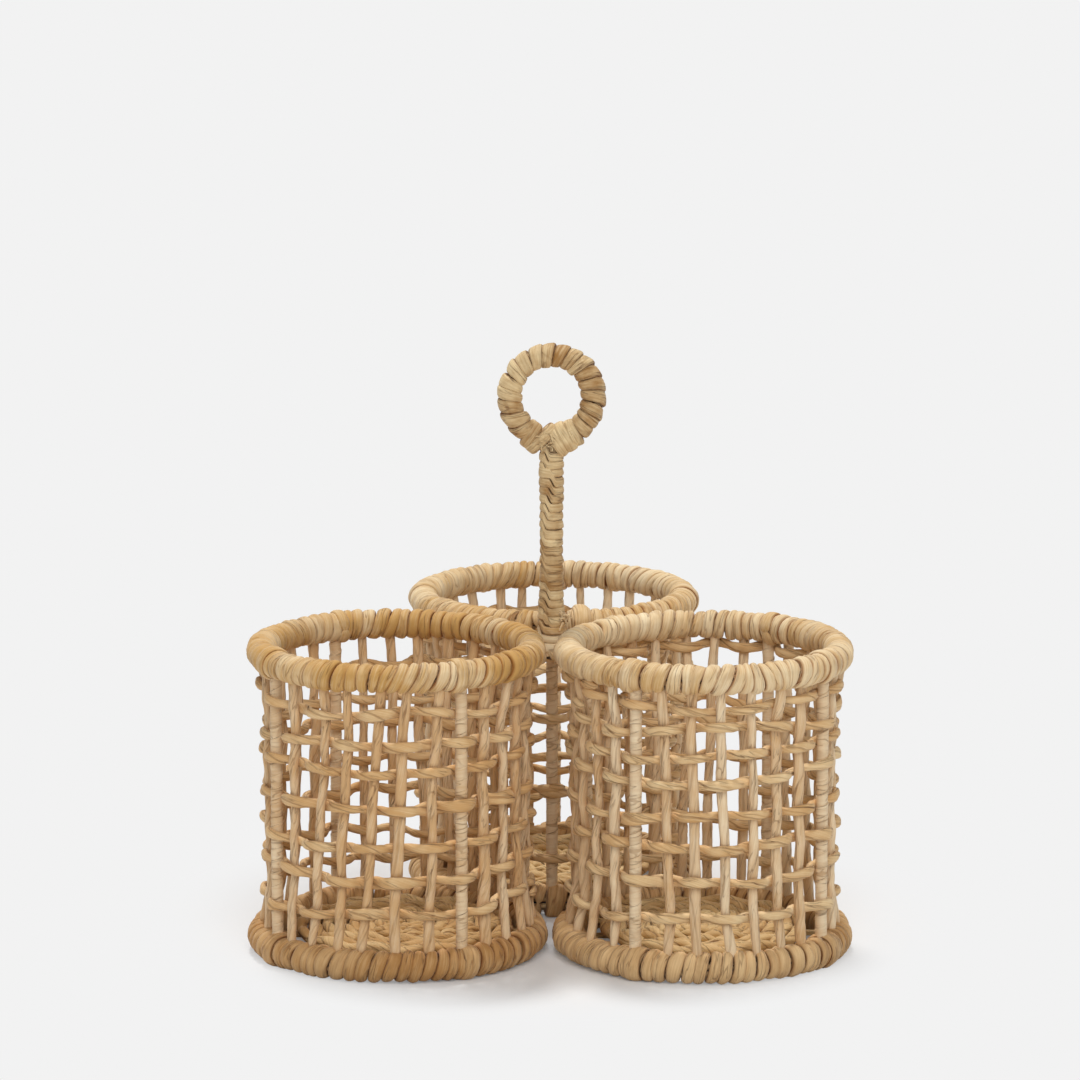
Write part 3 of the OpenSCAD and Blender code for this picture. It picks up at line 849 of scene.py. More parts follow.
@dataclass
class Basket:
    """One open round basket: two bound hoops, stakes, rows of weaving, and a coiled floor."""

    name: str
    turn: float                             # its direction from the stem, in radians
    rows: tuple[float, ...]                 # mean heights of the rows of weaving
    seed: int
    leans: tuple[float, float, float, float]  # how far the stakes of each quarter lean
    tan: float = 0.0                        # how much browner its rush is
    knots: tuple[float, ...] = ()           # how far beside the stem its rim's fat turns lie
    hoop_wire_r: float = 1.8                # radius of the hoops' wire
    stake_count: int = 28                   # uprights, the posts among them
    quarters: int = 4                       # each begins with a post
    stake_w: float = 2.45                   # half the width of a stake
    stake_t: float = 2.0                    # half its thickness
    draw: float = 3.8                       # how far the weaving draws the wall in between two posts
    draw_run: float = 30.0                  # height over which it does
    draw_power: float = 0.8                 # below one, more of the span is drawn in
    strand_rise: float = 3.6                # rise of a row in once round
    row_start: int = 12                     # stake at which the lowest row begins, on the side by the stem
    weaver_w: float = 2.3                   # half the height of a row
    weaver_t: float = 1.7                   # half its thickness
    give: float = 0.75                      # how far a stake gives way to a weaver
    coil_step: float = 3.0                  # growth of the floor's radius in half a turn
    coil_arcs: int = 16                     # half turns of the floor
    spoke_count: int = 12
    hub_r: float = 6.1                      # distance from the floor's middle at which spokes begin
    packing_r: float = 3.2                  # distance of a packing strand from the hoop's wire
    packing_strands: int = 6                # places round the wire, one of which stays open
    base_lift: float = 0.4                  # how much higher the base's binding sits than its wire
    levels: int = 60                        # heights at which a stake's place is kept

    # How unevenly the stakes stand: in their lean, their place and their wandering between the hoops
    lean_spread: float = 1.4
    stand_spread: float = 0.8
    sway_size: float = 0.7

    # A stake wanders in full at half its height and less towards the hoops: by the first of these
    # less the second times the square of the share of the height from the middle, but by one at most
    free_middle: float = 2.2
    free_fall: float = 4.0

    wind_from: float = math.pi * 0.97       # angle at which a hoop's strip begins, by the stem
    saddle_span: Pair = (-math.pi * 0.98, math.pi * 1.04)  # angle round the bar, from its inner side
    saddle_lean: float = 0.6                # how far a saddle leans
    saddle_t: float = 1.3                   # half its thickness
    saddle_widths: Pair = (0.85, 1.15)
    saddle_tones: Pair = (0.1, 0.8)
    packing_round: float = TAU * 0.999      # angle that a packing strand covers
    packing_size: float = 1.25              # half its thickness

    stake_foot: Pair = (2.5, 6.5)           # height of a stake's foot over the base's wire
    stake_tuck: float = 2.5                 # how far below the rim's wire it ends
    stake_widths: Pair = (0.88, 1.08)
    stake_tones: Pair = (0.0, 0.9)
    stake_tight: Pair = (0.6, 1.5)          # how tightly it is twisted
    give_run: float = 4.5                   # height over which it gives way

    sleeve_clear: float = 4.0               # distance of a sleeve's ends from the hoops' wires
    sleeve_pitch: float = 5.6
    sleeve_reach: float = 2.3               # radius of its strip's middle
    sleeve_t: float = 0.38                  # half its thickness
    sleeve_cover: float = 0.6               # half its width as a share of its pitch
    sleeve_tones: Pair = (0.0, 0.5)
    sleeve_lifts: Pair = (-0.08, 0.1)       # how much nearer or further out a turn lies
    sleeve_shift: float = 0.4               # how far a turn lies off its height
    sleeve_roll: float = 0.03               # roll of a turn onto the one before

    row_over: float = 0.42                  # how far a row's end reaches past its first and last stake
    row_clear: float = 0.05                 # clearance between a row and a stake
    row_wave: float = 0.5                   # how far a row rises and falls from stake to stake
    row_turn: float = 1.5                   # how sharply it turns from outside to inside
    row_tones: Pair = (0.1, 0.9)
    row_tight: Pair = (0.6, 1.3)
    row_w_between: float = 0.86             # share of its width that it has between stakes
    row_w_more: float = 0.18                # how much more it has at a stake
    row_t_between: float = 1.12             # share of its thickness that it has between stakes
    row_t_less: float = 0.16                # how much less it has at a stake
    flare_from: float = 0.8                 # drift over which a row flares
    flare: float = 0.35                     # how much it does

    spoke_w: float = 1.7                    # half the width of a spoke
    spoke_t: float = 1.4                    # half its thickness
    spoke_clear: float = 4.3                # distance of its end from the base's wire
    spoke_shift: float = 0.125              # turns the spokes away from the posts, in spokes
    coil_w: float = 2.95                    # half the width of the floor's strand
    coil_t: float = 2.4                     # half its thickness
    coil_point_mm: float = 1.6              # way between two points of it
    coil_least_points: int = 10             # points in its smallest half turn
    coil_ripple: float = 0.9                # how far it rises over a spoke
    coil_sink: float = 0.3                  # how far it lies below the middle of its place

    rim_winding: Winding = Winding(
        turns=77, reach=4.8, half_t=2.1, overlap=1.02, uneven=0.22, lift=0.35, lean=1.2)
    knot_layers: tuple[Pair, ...] = ((5.0, 6.7), (4.2, 7.5), (3.2, 8.2))  # a knot's half width and radius
    base_winding: Winding = Winding(
        turns=72, reach=5.1, half_t=2.3, uneven=0.2, lift=0.4, lean=0.6, overlap=1.02)
    strip_twist: Twist = Twist(sides=16, lay=260.0, folds=1, crease=0.08, lump=1.2, square=0.88)
    pillow_twist: Twist = Twist(sides=16, lay=220.0, folds=1, crease=0.1, lump=1.8, square=0.95)
    stake_twist: Twist = Twist(sides=16, lay=85.0, folds=2, crease=0.16, lump=0.9, square=0.9)
    weaver_twist: Twist = Twist(sides=16, lay=42.0, folds=2, crease=0.26, lump=1.1, square=0.9)
    coil_twist: Twist = Twist(sides=14, lay=26.0, folds=2, crease=0.6, lump=1.2)
    sleeve_twist: Twist = Twist(sides=10, lay=90.0, folds=1, crease=0.02, lump=0.3, square=0.7, ridge=0.01)
    packing_twist: Twist = Twist(sides=8, lay=30.0, folds=1, crease=0.2, lump=0.3)

    def __post_init__(self) -> None:
        """Takes the hoops' places from the frame and settles where the stakes stand."""
        self.rng = np.random.default_rng(self.seed)
        low, high = node_box(f"{self.name}_wire_frame")
        self.centre = (low + high) / 2
        self.hoop_r = (high[0] - low[0]) / 2 - self.hoop_wire_r
        self.base_z, self.rim_z = low[2] + self.hoop_wire_r, high[2] - self.hoop_wire_r
        self.step = TAU / self.stake_count
        self.per_quarter = self.stake_count // self.quarters
        self.heights = np.linspace(self.base_z, self.rim_z, self.levels)
        middle = np.linspace(-0.5, 0.5, self.levels)
        free = np.clip(self.free_middle - self.free_fall * middle**2, 0.0, 1.0)
        self.stake_at = np.empty((self.stake_count, self.levels))
        for i in range(self.stake_count):
            sway = 0.0
            if i % self.per_quarter:
                share = abs(math.sin(i * self.step * self.quarters / 2))
                lean = self.leans[i // self.per_quarter] * share + self.rng.normal(0.0, self.lean_spread)
                sway = lean * middle + drift(self.rng, self.levels, knots=5, size=self.sway_size) * free
                sway += self.rng.normal(0.0, self.stand_spread)
            self.stake_at[i] = i * self.step + sway / self.hoop_r

    def in_place(self, strand: Strand) -> Strand:
        """Brings a strand from the basket's own axes to the carrier's, and browns it."""
        moved = strand.about_z(self.turn, (self.centre[0], self.centre[1], 0.0))
        return replace(moved, tone=moved.tone + self.tan)

    def wall(self, place: np.ndarray, z: np.ndarray) -> np.ndarray:
        """Radius of the wall, which the weaving draws in between the posts.

        Args:
            place: Angle round the basket.
            z: Height.

        Returns:
            The radius at each place.
        """
        between = np.abs(np.sin(place * self.quarters / 2)) ** self.draw_power
        clear = eased(np.minimum(z - self.base_z, self.rim_z - z) / self.draw_run)
        return self.hoop_r - self.draw * between * clear

    def hoop(self, winding: Winding, z: float) -> Strand:
        """The strip that binds one hoop, from the side by the stem all the way round."""
        return winding.strip(self.rng, self.wind_from, TAU, self.hoop_r).about_z(0.0, (0.0, 0.0, z))

    def saddles(self, z: float, half_w: float, shift: float, rho: float,
                skipped: int | None = None) -> list[Strand]:
        """Wide turns over one hoop beside the posts.

        Args:
            z: Height of the hoop.
            half_w: Half the width of a turn.
            shift: How far a turn stands to the side of its post.
            rho: Radius of a turn round the hoop's wire.
            skipped: Quarter that has none.

        Returns:
            One strand for each turn.
        """
        return [
            self.saddle(quarter * TAU / self.quarters + shift / self.hoop_r, z, half_w, rho)
            for quarter in range(self.quarters) if quarter != skipped
        ]

    def saddle(self, at: float, z: float, half_w: float, rho: float) -> Strand:
        """One wide turn over a hoop.

        Args:
            at: Angle round the basket at which it lies.
            z: Height of the hoop.
            half_w: Half its width.
            rho: Its radius round the hoop's wire.

        Returns:
            The turn.
        """
        count = 48
        angle = np.linspace(*self.saddle_span, count)
        place = at + self.saddle_lean * np.sin(angle) / self.hoop_r
        points, facing = on_hoop(self.hoop_r, rho, angle, place, z)
        ends = rounded_ends(count, ends=8, least=0.3)
        width = half_w * self.rng.uniform(*self.saddle_widths)
        width = width * (1 + drift(self.rng, count, knots=5, size=0.08))
        tone = self.rng.uniform(*self.saddle_tones)
        return Strand(points, facing, width * ends, self.saddle_t * ends, roll=0.05, tone=tone)

    def packing(self, z: float, open_at: float) -> list[Strand]:
        """Strands packed round one hoop's wire.

        Args:
            z: Height of the hoop.
            open_at: Angle round the wire at which there is none.

        Returns:
            One strand for each other place.
        """
        strands = []
        count = 120
        place = np.linspace(0.0, self.packing_round, count)
        for i in range(1, self.packing_strands):
            angle = open_at + i * TAU / self.packing_strands
            reach = self.hoop_r + self.packing_r * math.cos(angle)
            lift = z + self.packing_r * math.sin(angle)
            strands.append(Strand(
                polar(reach, place, lift), polar(1.0, place, 0.0), self.packing_size, self.packing_size,
                tone=self.rng.uniform()))
        return strands

    def stakes(self) -> list[Strand]:
        """Upright stakes, bent a little by each row of weaving that passes them.

        Returns:
            A strand for each stake.
        """
        strands = []
        count = 104
        for i in range(self.stake_count):
            if i % self.per_quarter == 0:
                continue
            foot = self.base_z + self.rng.uniform(*self.stake_foot)
            z = np.linspace(foot, self.rim_z - self.stake_tuck, count)
            place = np.interp(z, self.heights, self.stake_at[i])
            bend = drift(self.rng, count, knots=5, size=0.3)
            for row, height in enumerate(self.rows):
                begun = (i - row - self.row_start) % self.stake_count
                level = height + self.strand_rise * (begun / self.stake_count - 0.5)
                side = 1 if (i + row) % 2 == 0 else -1
                bend -= side * self.give * np.exp(-((z - level) / self.give_run) ** 2)
            ends = rounded_ends(count, ends=4, least=0.5)
            size = 1 + drift(self.rng, count, knots=7, size=0.07)
            width = self.stake_w * self.rng.uniform(*self.stake_widths)
            tone = self.rng.uniform(*self.stake_tones) + drift(self.rng, count, knots=4, size=0.12)
            strands.append(Strand(
                polar(self.wall(place, z) + bend, place, z), polar(1.0, place, 0.0),
                width * size * ends, self.stake_t / size * ends,
                drift(self.rng, count, knots=4, size=0.4), np.clip(tone, 0.0, 1.0),
                self.rng.uniform(*self.stake_tight)))
        return strands

    def sleeves(self) -> list[Strand]:
        """Flat strips wound smoothly on the upright wires.

        Returns:
            A strand for each wire.
        """
        strands = []
        steps = 16
        low, top = self.base_z + self.sleeve_clear, self.rim_z - self.sleeve_clear
        turns = int((top - low) / self.sleeve_pitch)
        count = turns * steps + 1
        u = np.arange(count) / steps
        turn_at = np.arange(turns) + 0.5
        for quarter in range(self.quarters):
            angle = TAU * u + quarter
            rho = self.sleeve_reach + np.interp(u, turn_at, self.rng.uniform(*self.sleeve_lifts, turns))
            shift = self.rng.normal(0.0, self.sleeve_shift, turns)
            z = low + (top - low) * u / turns + np.interp(u, turn_at, shift)
            strip = Strand(
                polar(rho, angle, z) + np.array([self.hoop_r, 0.0, 0.0]), polar(1.0, angle, 0.0),
                self.sleeve_pitch * self.sleeve_cover, self.sleeve_t,
                self.sleeve_roll + drift(self.rng, count, knots=turns, size=self.sleeve_roll),
                np.interp(u, turn_at, self.rng.uniform(*self.sleeve_tones, turns)))
            strands.append(strip.about_z(quarter * TAU / self.quarters))
        return strands

    def weavers(self) -> list[Strand]:
        """Rows of weaving, each a strand that goes once round, outside and inside in turn.

        Returns:
            A strand for each row.
        """
        strands = []
        per_stake = 11     # points from one stake to the next
        clearance = self.stake_t + self.weaver_t + self.row_clear
        q = np.arange(-self.row_over, self.stake_count + self.row_over, 1 / per_stake)
        count = len(q)
        crest = np.cos(math.pi * q)
        near = np.abs(crest)
        swing = np.tanh(self.row_turn * crest) / math.tanh(self.row_turn)
        ends = rounded_ends(count, ends=5, least=0.3)
        for row, height in enumerate(self.rows):
            stake = q + row + self.row_start
            z = height + self.strand_rise * (q / self.stake_count - 0.5)
            z = z + drift(self.rng, count, knots=11, size=1.5) + self.row_wave * crest

            # The place between the stakes below and ahead, as these stand at the row's height
            below = np.floor(stake).astype(int)
            level = (z - self.heights[0]) / np.ptp(self.heights) * (self.levels - 1)
            level = np.clip(level, 0, self.levels - 1).astype(int)
            here, ahead = (
                self.stake_at[i % self.stake_count, level] + TAU * (i // self.stake_count)
                for i in (below, below + 1)
            )
            place = here + (ahead - here) * (stake - below)

            # Posts don't give way, the other stakes do
            at_post = np.abs((stake + self.per_quarter / 2) % self.per_quarter - self.per_quarter / 2)
            yields = self.give * np.clip(at_post, 0.0, 1.0)
            size = 1 + drift(self.rng, count, knots=22, size=0.09)
            flare = drift(self.rng, count, knots=16, size=1.0) - self.flare_from
            flare = 1 + self.flare * np.clip(flare, 0.0, 1.0)
            reach = self.wall(place, z) + (clearance - yields) * swing
            reach = reach + drift(self.rng, count, knots=20, size=0.12)
            width = self.weaver_w * (self.row_w_between + self.row_w_more * near) * size * flare
            thick = self.weaver_t * (self.row_t_between - self.row_t_less * near) / np.sqrt(size * flare)
            tone = self.rng.uniform(*self.row_tones) + drift(self.rng, count, knots=9, size=0.15)
            strands.append(Strand(
                polar(reach, place, z), polar(1.0, place, 0.0), width * ends, thick * ends,
                drift(self.rng, count, knots=18, size=0.35), np.clip(tone, 0.0, 1.0),
                self.rng.uniform(*self.row_tight)))
        return strands

    def spokes(self) -> list[Strand]:
        """Spokes under the floor, from its middle to the base hoop.

        Returns:
            A strand for each spoke.
        """
        strands = []
        count = 30
        reach = np.linspace(self.hub_r, self.hoop_r - self.spoke_clear, count)
        ends = rounded_ends(count, ends=3, least=0.4)
        for i in range(self.spoke_count):
            aside = drift(self.rng, count, knots=3, size=0.3)
            spoke = Strand(
                np.column_stack([reach, aside, np.full(count, self.base_z)]), (0.0, 0.0, 1.0),
                self.spoke_w * ends, self.spoke_t * ends, tone=self.rng.uniform())
            strands.append(spoke.about_z((i + self.spoke_shift) * TAU / self.spoke_count))
        return strands

    def coil(self) -> list[Strand]:
        """The floor's one strand, in half turns that each reach a step further out.

        Returns:
            The strand, alone in a list.
        """
        parts = []
        places = []
        for i in range(self.coil_arcs):
            radius = (i + 1) * self.coil_step
            steps = max(self.coil_least_points, int(math.pi * radius / self.coil_point_mm))
            last = i == self.coil_arcs - 1
            angle = np.linspace(0.0, math.pi, steps, endpoint=last) + (math.pi if i % 2 == 0 else 0.0)
            shift = 0.0 if i % 2 == 0 else -self.coil_step
            parts.append(np.stack([shift + radius * np.cos(angle), radius * np.sin(angle)], axis=1))
            places.append(angle + TAU * (i // 2 + i % 2))
        flat = np.concatenate(parts)
        place = np.concatenate(places)
        count = len(flat)
        rings = np.linspace(0.0, self.coil_arcs / 2, count)
        ripple = self.coil_ripple * np.cos(place * self.spoke_count + math.pi * np.floor(rings))
        low, high = node_box(f"{self.name}_floor_coil")
        z = (low[2] + high[2]) / 2 - self.coil_sink + ripple + drift(self.rng, count, knots=60, size=0.3)
        radial = flat / np.maximum(np.linalg.norm(flat, axis=1, keepdims=True), 1.0)
        flat = flat + radial * drift(self.rng, count, knots=50, size=0.25)[:, None]
        ends = rounded_ends(count, ends=6, least=0.3)
        size = 1 + drift(self.rng, count, knots=70, size=0.09)
        tone = np.clip(0.5 + drift(self.rng, count, knots=30, size=0.3), 0.0, 1.0)
        return [Strand(
            np.column_stack([flat, z]), (0.0, 0.0, 1.0), self.coil_w * size * ends,
            self.coil_t / size * ends, drift(self.rng, count, knots=40, size=0.3), tone)]

    def build(self, shop: Workshop) -> None:
        """Makes all pieces of the basket.

        Args:
            shop: The workshop that grows and dresses them.
        """
        shop.wire(f"{self.name}_wire_frame")
        base_at = self.base_z + self.base_lift
        by_stem = self.quarters // 2
        rim = [
            self.hoop(self.rim_winding, self.rim_z),
            *self.saddles(self.rim_z, half_w=3.2, shift=-2.2, rho=6.6, skipped=by_stem),
        ]
        rim += [
            self.saddle(math.pi + knot / self.hoop_r, self.rim_z, half_w, rho)
            for knot in self.knots for half_w, rho in self.knot_layers
        ]
        base = [
            self.hoop(self.base_winding, base_at),
            *self.saddles(base_at, half_w=4.1, shift=1.6, rho=7.0),
        ]
        pieces = {
            "rim_packing": (
                self.packing(self.rim_z, open_at=math.radians(270)), self.packing_twist, Finish.PACKING),
            "rim_binding": (rim, self.strip_twist, Finish.RIM),
            "base_packing": (
                self.packing(self.base_z, open_at=math.radians(90)), self.packing_twist, Finish.PACKING),
            "base_binding": (base, self.pillow_twist, Finish.BASE),
            "stakes": (self.stakes(), self.stake_twist, Finish.STAKE),
            "post_sleeves": (self.sleeves(), self.sleeve_twist, Finish.SLEEVE),
            "weavers": (self.weavers(), self.weaver_twist, Finish.WEAVER),
            "floor_spokes": (self.spokes(), self.stake_twist, Finish.FLOOR),
            "floor_coil": (self.coil(), self.coil_twist, Finish.FLOOR),
        }
        for part, (strands, twist, finish) in pieces.items():
            shop.rush(f"{self.name}_{part}", [self.in_place(s) for s in strands], twist, finish)


@dataclass(frozen=True)
class Wrap:
    """A strip wound up a stretch of the stem, over its lining."""

    turns: int
    reach: float               # radius of its middle
    half_t: float              # half its thickness
    below: float               # how far it passes the lower end of its node
    above: float               # how far it passes the upper end
    lined_below: float = 0.0   # how far its lining passes the lower end
    lined_above: float = 0.0   # how far its lining passes the upper end
    swell_low: float = 0.0     # how much further out the lowest turn lies
    swell_high: float = 0.0    # how much further out the highest turn lies

    SWELL_POWER = 4            # how quickly that goes away from the ends

    def radii(self) -> np.ndarray:
        """Radius of each turn's middle.

        Returns:
            A radius for each turn, from the foot up.
        """
        down = np.linspace(1.0, 0.0, self.turns) ** self.SWELL_POWER
        up = np.linspace(0.0, 1.0, self.turns) ** self.SWELL_POWER
        return self.reach + self.swell_low * down + self.swell_high * up


@dataclass(frozen=True)
class Crossing:
    """A strip that leans across the place where the ring meets the stem."""

    tilt: float      # of the way that it runs, in degrees from level
    shift: float     # of its middle, to the right
    lift: float      # of its middle
    reach: float     # how far it reaches to the front and the back
    length: float    # how far it reaches along its way


@dataclass(frozen=True)
class Fibres:
    """A patch of short torn fibres, which lie against the strips where these end."""

    offset: tuple[float, float, float]   # of the patch's middle
    spread: tuple[float, float, float]   # half its size along each axis
    amount: int

    LENGTHS = (1.6, 3.4)
    SIZES = (0.22, 0.42)       # half their thickness
    TONES = (0.0, 0.25)
    FLATNESS = 1.6             # their width as a share of their thickness
    TAPER = 0.6                # how much they thin towards their tips
    WAYS = (1.0, 0.2, 1.0)     # how far they point along each axis
    BEND = (0.0, -0.15, -0.3)  # how they bend to the front and hang

    def strands(self, rng: np.random.Generator, place: np.ndarray) -> list[Strand]:
        """Gives one thin strand for each fibre.

        Args:
            rng: The source of their unevenness.
            place: The place from which the patch is offset.

        Returns:
            The strands.
        """
        strands = []
        count = 8
        share = np.linspace(0.0, 1.0, count)[:, None]
        middle = place + np.array(self.offset)
        for _ in range(self.amount):
            begin = middle + rng.uniform(-1.0, 1.0, 3) * np.array(self.spread)
            way = rng.normal(0.0, 1.0, 3) * np.array(self.WAYS)
            way /= np.linalg.norm(way)
            points = begin + rng.uniform(*self.LENGTHS) * (share * way + share**2 * np.array(self.BEND))
            size = rng.uniform(*self.SIZES) * (1 - self.TAPER * share[:, 0])
            strands.append(Strand(
                points, (0.0, -1.0, 0.0), size * self.FLATNESS, size, tone=rng.uniform(*self.TONES)))
        return strands


@dataclass
class Handle:
    """The bound stem with its finger ring, and the lashings above and below."""

    seed: int = 41
    wire_r: float = 3.0                     # radius of the stem's and the ring's wire
    foot_r: float = 1.8                     # radius of the feet's wire
    foot_from: float = 3.0                  # distance from the stem's middle at which a foot's strip begins
    foot_run: float = 13.5                  # length of a foot between the stem and a post
    foot_turns: int = 4                     # turns of a foot's strip
    step_at: float = -TAU * 0.3             # side of the stem on which its strip climbs, left of the front
    step_span: float = 0.09                 # share of a turn in which it climbs
    gap_left: float = math.radians(24)      # part of the ring, left of the stem, that its strip leaves open
    gap_right: float = math.radians(30)     # part of it on the right

    ring_winding: Winding = Winding(
        turns=19, reach=4.15, half_t=1.75, overlap=1.05, uneven=0.16, lift=0.2, lean=0.6, shingle=0.16,
        patchy=0.3)
    twist: Twist = Twist(sides=16, lay=260.0, folds=1, crease=0.06, lump=1.2, square=0.75)
    stem_wrap: Wrap = Wrap(
        turns=17, reach=4.1, half_t=1.3, below=2.5, above=2.5, swell_low=0.8, swell_high=0.45)
    neck_wrap: Wrap = Wrap(
        turns=3, reach=4.3, half_t=1.5, below=2.5, above=5.0, lined_below=1.0, lined_above=5.0)
    hub_wrap: Wrap = Wrap(
        turns=5, reach=4.7, half_t=1.9, below=5.0, above=4.0, lined_below=2.0, lined_above=3.0)
    crossings: tuple[Crossing, ...] = (
        Crossing(tilt=-62, shift=10.2, lift=2.4, reach=4.3, length=5.2),
        Crossing(tilt=-57, shift=6.4, lift=0.6, reach=4.4, length=6.2),
        Crossing(tilt=-54, shift=2.6, lift=-1.2, reach=4.5, length=6.6),
        Crossing(tilt=58, shift=-9.4, lift=1.6, reach=4.4, length=5.4),
        Crossing(tilt=42, shift=-4.4, lift=-0.2, reach=4.8, length=7.4),
    )
    crossing_span: float = TAU * 1.03       # once round and a little over
    crossing_w: float = 2.9                 # half the width of a crossing strip
    crossing_t: float = 1.6                 # half its thickness
    neck_fibres: Fibres = Fibres(offset=(-2.0, -6.1, -1.0), spread=(3.6, 0.5, 4.6), amount=30)
    hub_fibres: Fibres = Fibres(offset=(6.5, -4.5, 1.0), spread=(2.0, 1.5, 2.6), amount=24)

    lining_over: float = 0.55               # how much thicker than the wire its lining is
    lining_tone: float = 0.6
    ring_lined: Pair = (-TAU / 4, TAU * 0.745)  # angles round the ring between which it is lined
    stem_push: float = 0.14                 # how far the stem pushes a turn's outer side past its inner
    push_run: float = 0.9                   # angle from the stem over which it does, both in radians

    # How unevenly a strip is wound on the stem
    wrap_steps: int = 48                    # points in a turn
    wrap_reaches: Pair = (-0.15, 0.15)      # how much nearer or further out a turn lies
    wrap_height_spread: float = 0.1         # how much turns differ in height
    wrap_heights: Pair = (0.75, 1.25)       # limits of a turn's height, as shares of the mean one
    step_run: int = 3                       # turns over which the place of the climb wanders
    step_drift: float = 0.05                # how far it does, in turns
    sag: float = 0.2                        # how far a turn is from level
    overlap: float = 1.1                    # width of a turn as a share of the way to the next one
    shingle: float = 0.16                   # roll of a turn onto the one before

    feet: tuple[float, ...] = (TAU * 7 / 12, TAU * 11 / 12, TAU * 3 / 12)  # directions of the feet
    foot_over: float = 1.4                  # distance of a foot's strip from its wire
    foot_reaches: Pair = (-0.2, 0.2)        # how much that differs
    foot_t: float = 1.3                     # half the thickness of a foot's strip

    def __post_init__(self) -> None:
        """Takes the ring's and the stem's places from the frame."""
        self.rng = np.random.default_rng(self.seed)
        low, high = node_box("ring_wire")
        middle = (low + high) / 2
        self.stem_y, self.ring_z = middle[1], middle[2]
        self.ring_r = (high[0] - low[0]) / 2 - self.wire_r

    def lining(self, points: np.ndarray, facing: np.ndarray | tuple[float, float, float]) -> Strand:
        """Rush laid along the wire under the strip, so that no metal shows between its turns."""
        size = self.wire_r + self.lining_over
        return Strand(points, facing, size, size, tone=self.lining_tone)

    def wrapped(self, node: str, wrap: Wrap) -> list[Strand]:
        """Winds a strip up the stem, level round most of it and climbing in front.

        Args:
            node: The node of the frame that gives the height of the ends.
            wrap: How it is wound.

        Returns:
            The strip and its lining, in the carrier's place.
        """
        low, high = (corner[2] for corner in node_box(node))
        lined = np.linspace(low - wrap.lined_below, high + wrap.lined_above, self.wrap_steps // 2)
        low, high = low - wrap.below, high + wrap.above
        turns = wrap.turns
        count = turns * self.wrap_steps + 1
        u = np.arange(count) / self.wrap_steps
        turn_at = np.arange(turns) + 0.5
        angle = self.step_at + math.pi - TAU * u
        pitch = (high - low) / (turns + 1)
        radii = wrap.radii() + self.rng.uniform(*self.wrap_reaches, turns)
        marks = self.rng.normal(1.0, self.wrap_height_spread, turns + 1)
        marks = np.cumsum(np.clip(marks, *self.wrap_heights))
        marks = (marks - marks[0]) / (marks[-1] - marks[0])
        share = u + drift(self.rng, count, knots=max(2, turns // self.step_run), size=self.step_drift)
        climbed = np.floor(share) + eased((share - np.floor(share) - 0.5) / self.step_span + 0.5)
        run = high - low - pitch
        z = low + pitch / 2 + run * np.interp(climbed, np.arange(turns + 1), marks)
        z = z + self.sag * np.sin(angle + drift(self.rng, count, knots=turns, size=0.8))
        ends = rounded_ends(count, ends=self.wrap_steps // 3, least=0.3)
        width = 0.5 * self.overlap * run * np.interp(climbed, np.arange(turns + 1), np.gradient(marks))
        tone = np.interp(u, turn_at, self.rng.uniform(0.0, 1.0, turns))
        on_stem = np.array([0.0, self.stem_y, 0.0])
        strip = Strand(
            polar(np.interp(u, turn_at, radii), angle, z) + on_stem, polar(1.0, angle, 0.0), width * ends,
            wrap.half_t * ends, self.shingle + drift(self.rng, count, knots=turns, size=0.08), tone,
            heading=np.column_stack([np.sin(angle), -np.cos(angle), np.zeros(count)]))
        return [strip, self.lining(polar(0.0, np.zeros(len(lined)), lined) + on_stem, (0.0, -1.0, 0.0))]

    def upright(self, strand: Strand) -> Strand:
        """Stands a strand that was made on a flat ring up into the finger ring's place."""
        turned = np.array([[1, 0, 0], [0, 0, 1], [0, -1, 0]], float)
        return strand.moved(turned, np.array([0.0, self.stem_y, self.ring_z]))

    def ring(self) -> list[Strand]:
        """The strip on the finger ring, pushed apart outside where the stem comes in.

        Returns:
            The strip, and the lining under it.
        """
        count = 120
        flat = polar(1.0, np.linspace(*self.ring_lined, count), 0.0)
        lining = self.lining(flat * self.ring_r, flat)
        span = TAU - self.gap_left - self.gap_right
        strip = self.ring_winding.strip(self.rng, -TAU / 4 + self.gap_right, span, self.ring_r)
        place = np.arctan2(strip.points[:, 1], strip.points[:, 0])
        reach = np.linalg.norm(strip.points[:, :2], axis=1)
        from_stem = (place + TAU / 4 + math.pi) % TAU - math.pi
        outer = np.clip((reach - self.ring_r) / self.ring_winding.reach * 0.5 + 0.5, 0.0, 1.0)
        near = np.exp(-(from_stem / self.push_run) ** 2)
        push = np.sign(from_stem) * self.stem_push * near * (outer - 0.5)
        c, s = np.cos(push), np.sin(push)
        for array in (strip.points, strip.facing, strip.heading):
            x, y = array[:, 0].copy(), array[:, 1].copy()
            array[:, 0], array[:, 1] = c * x - s * y, s * x + c * y
        return [self.upright(strip), self.upright(lining)]

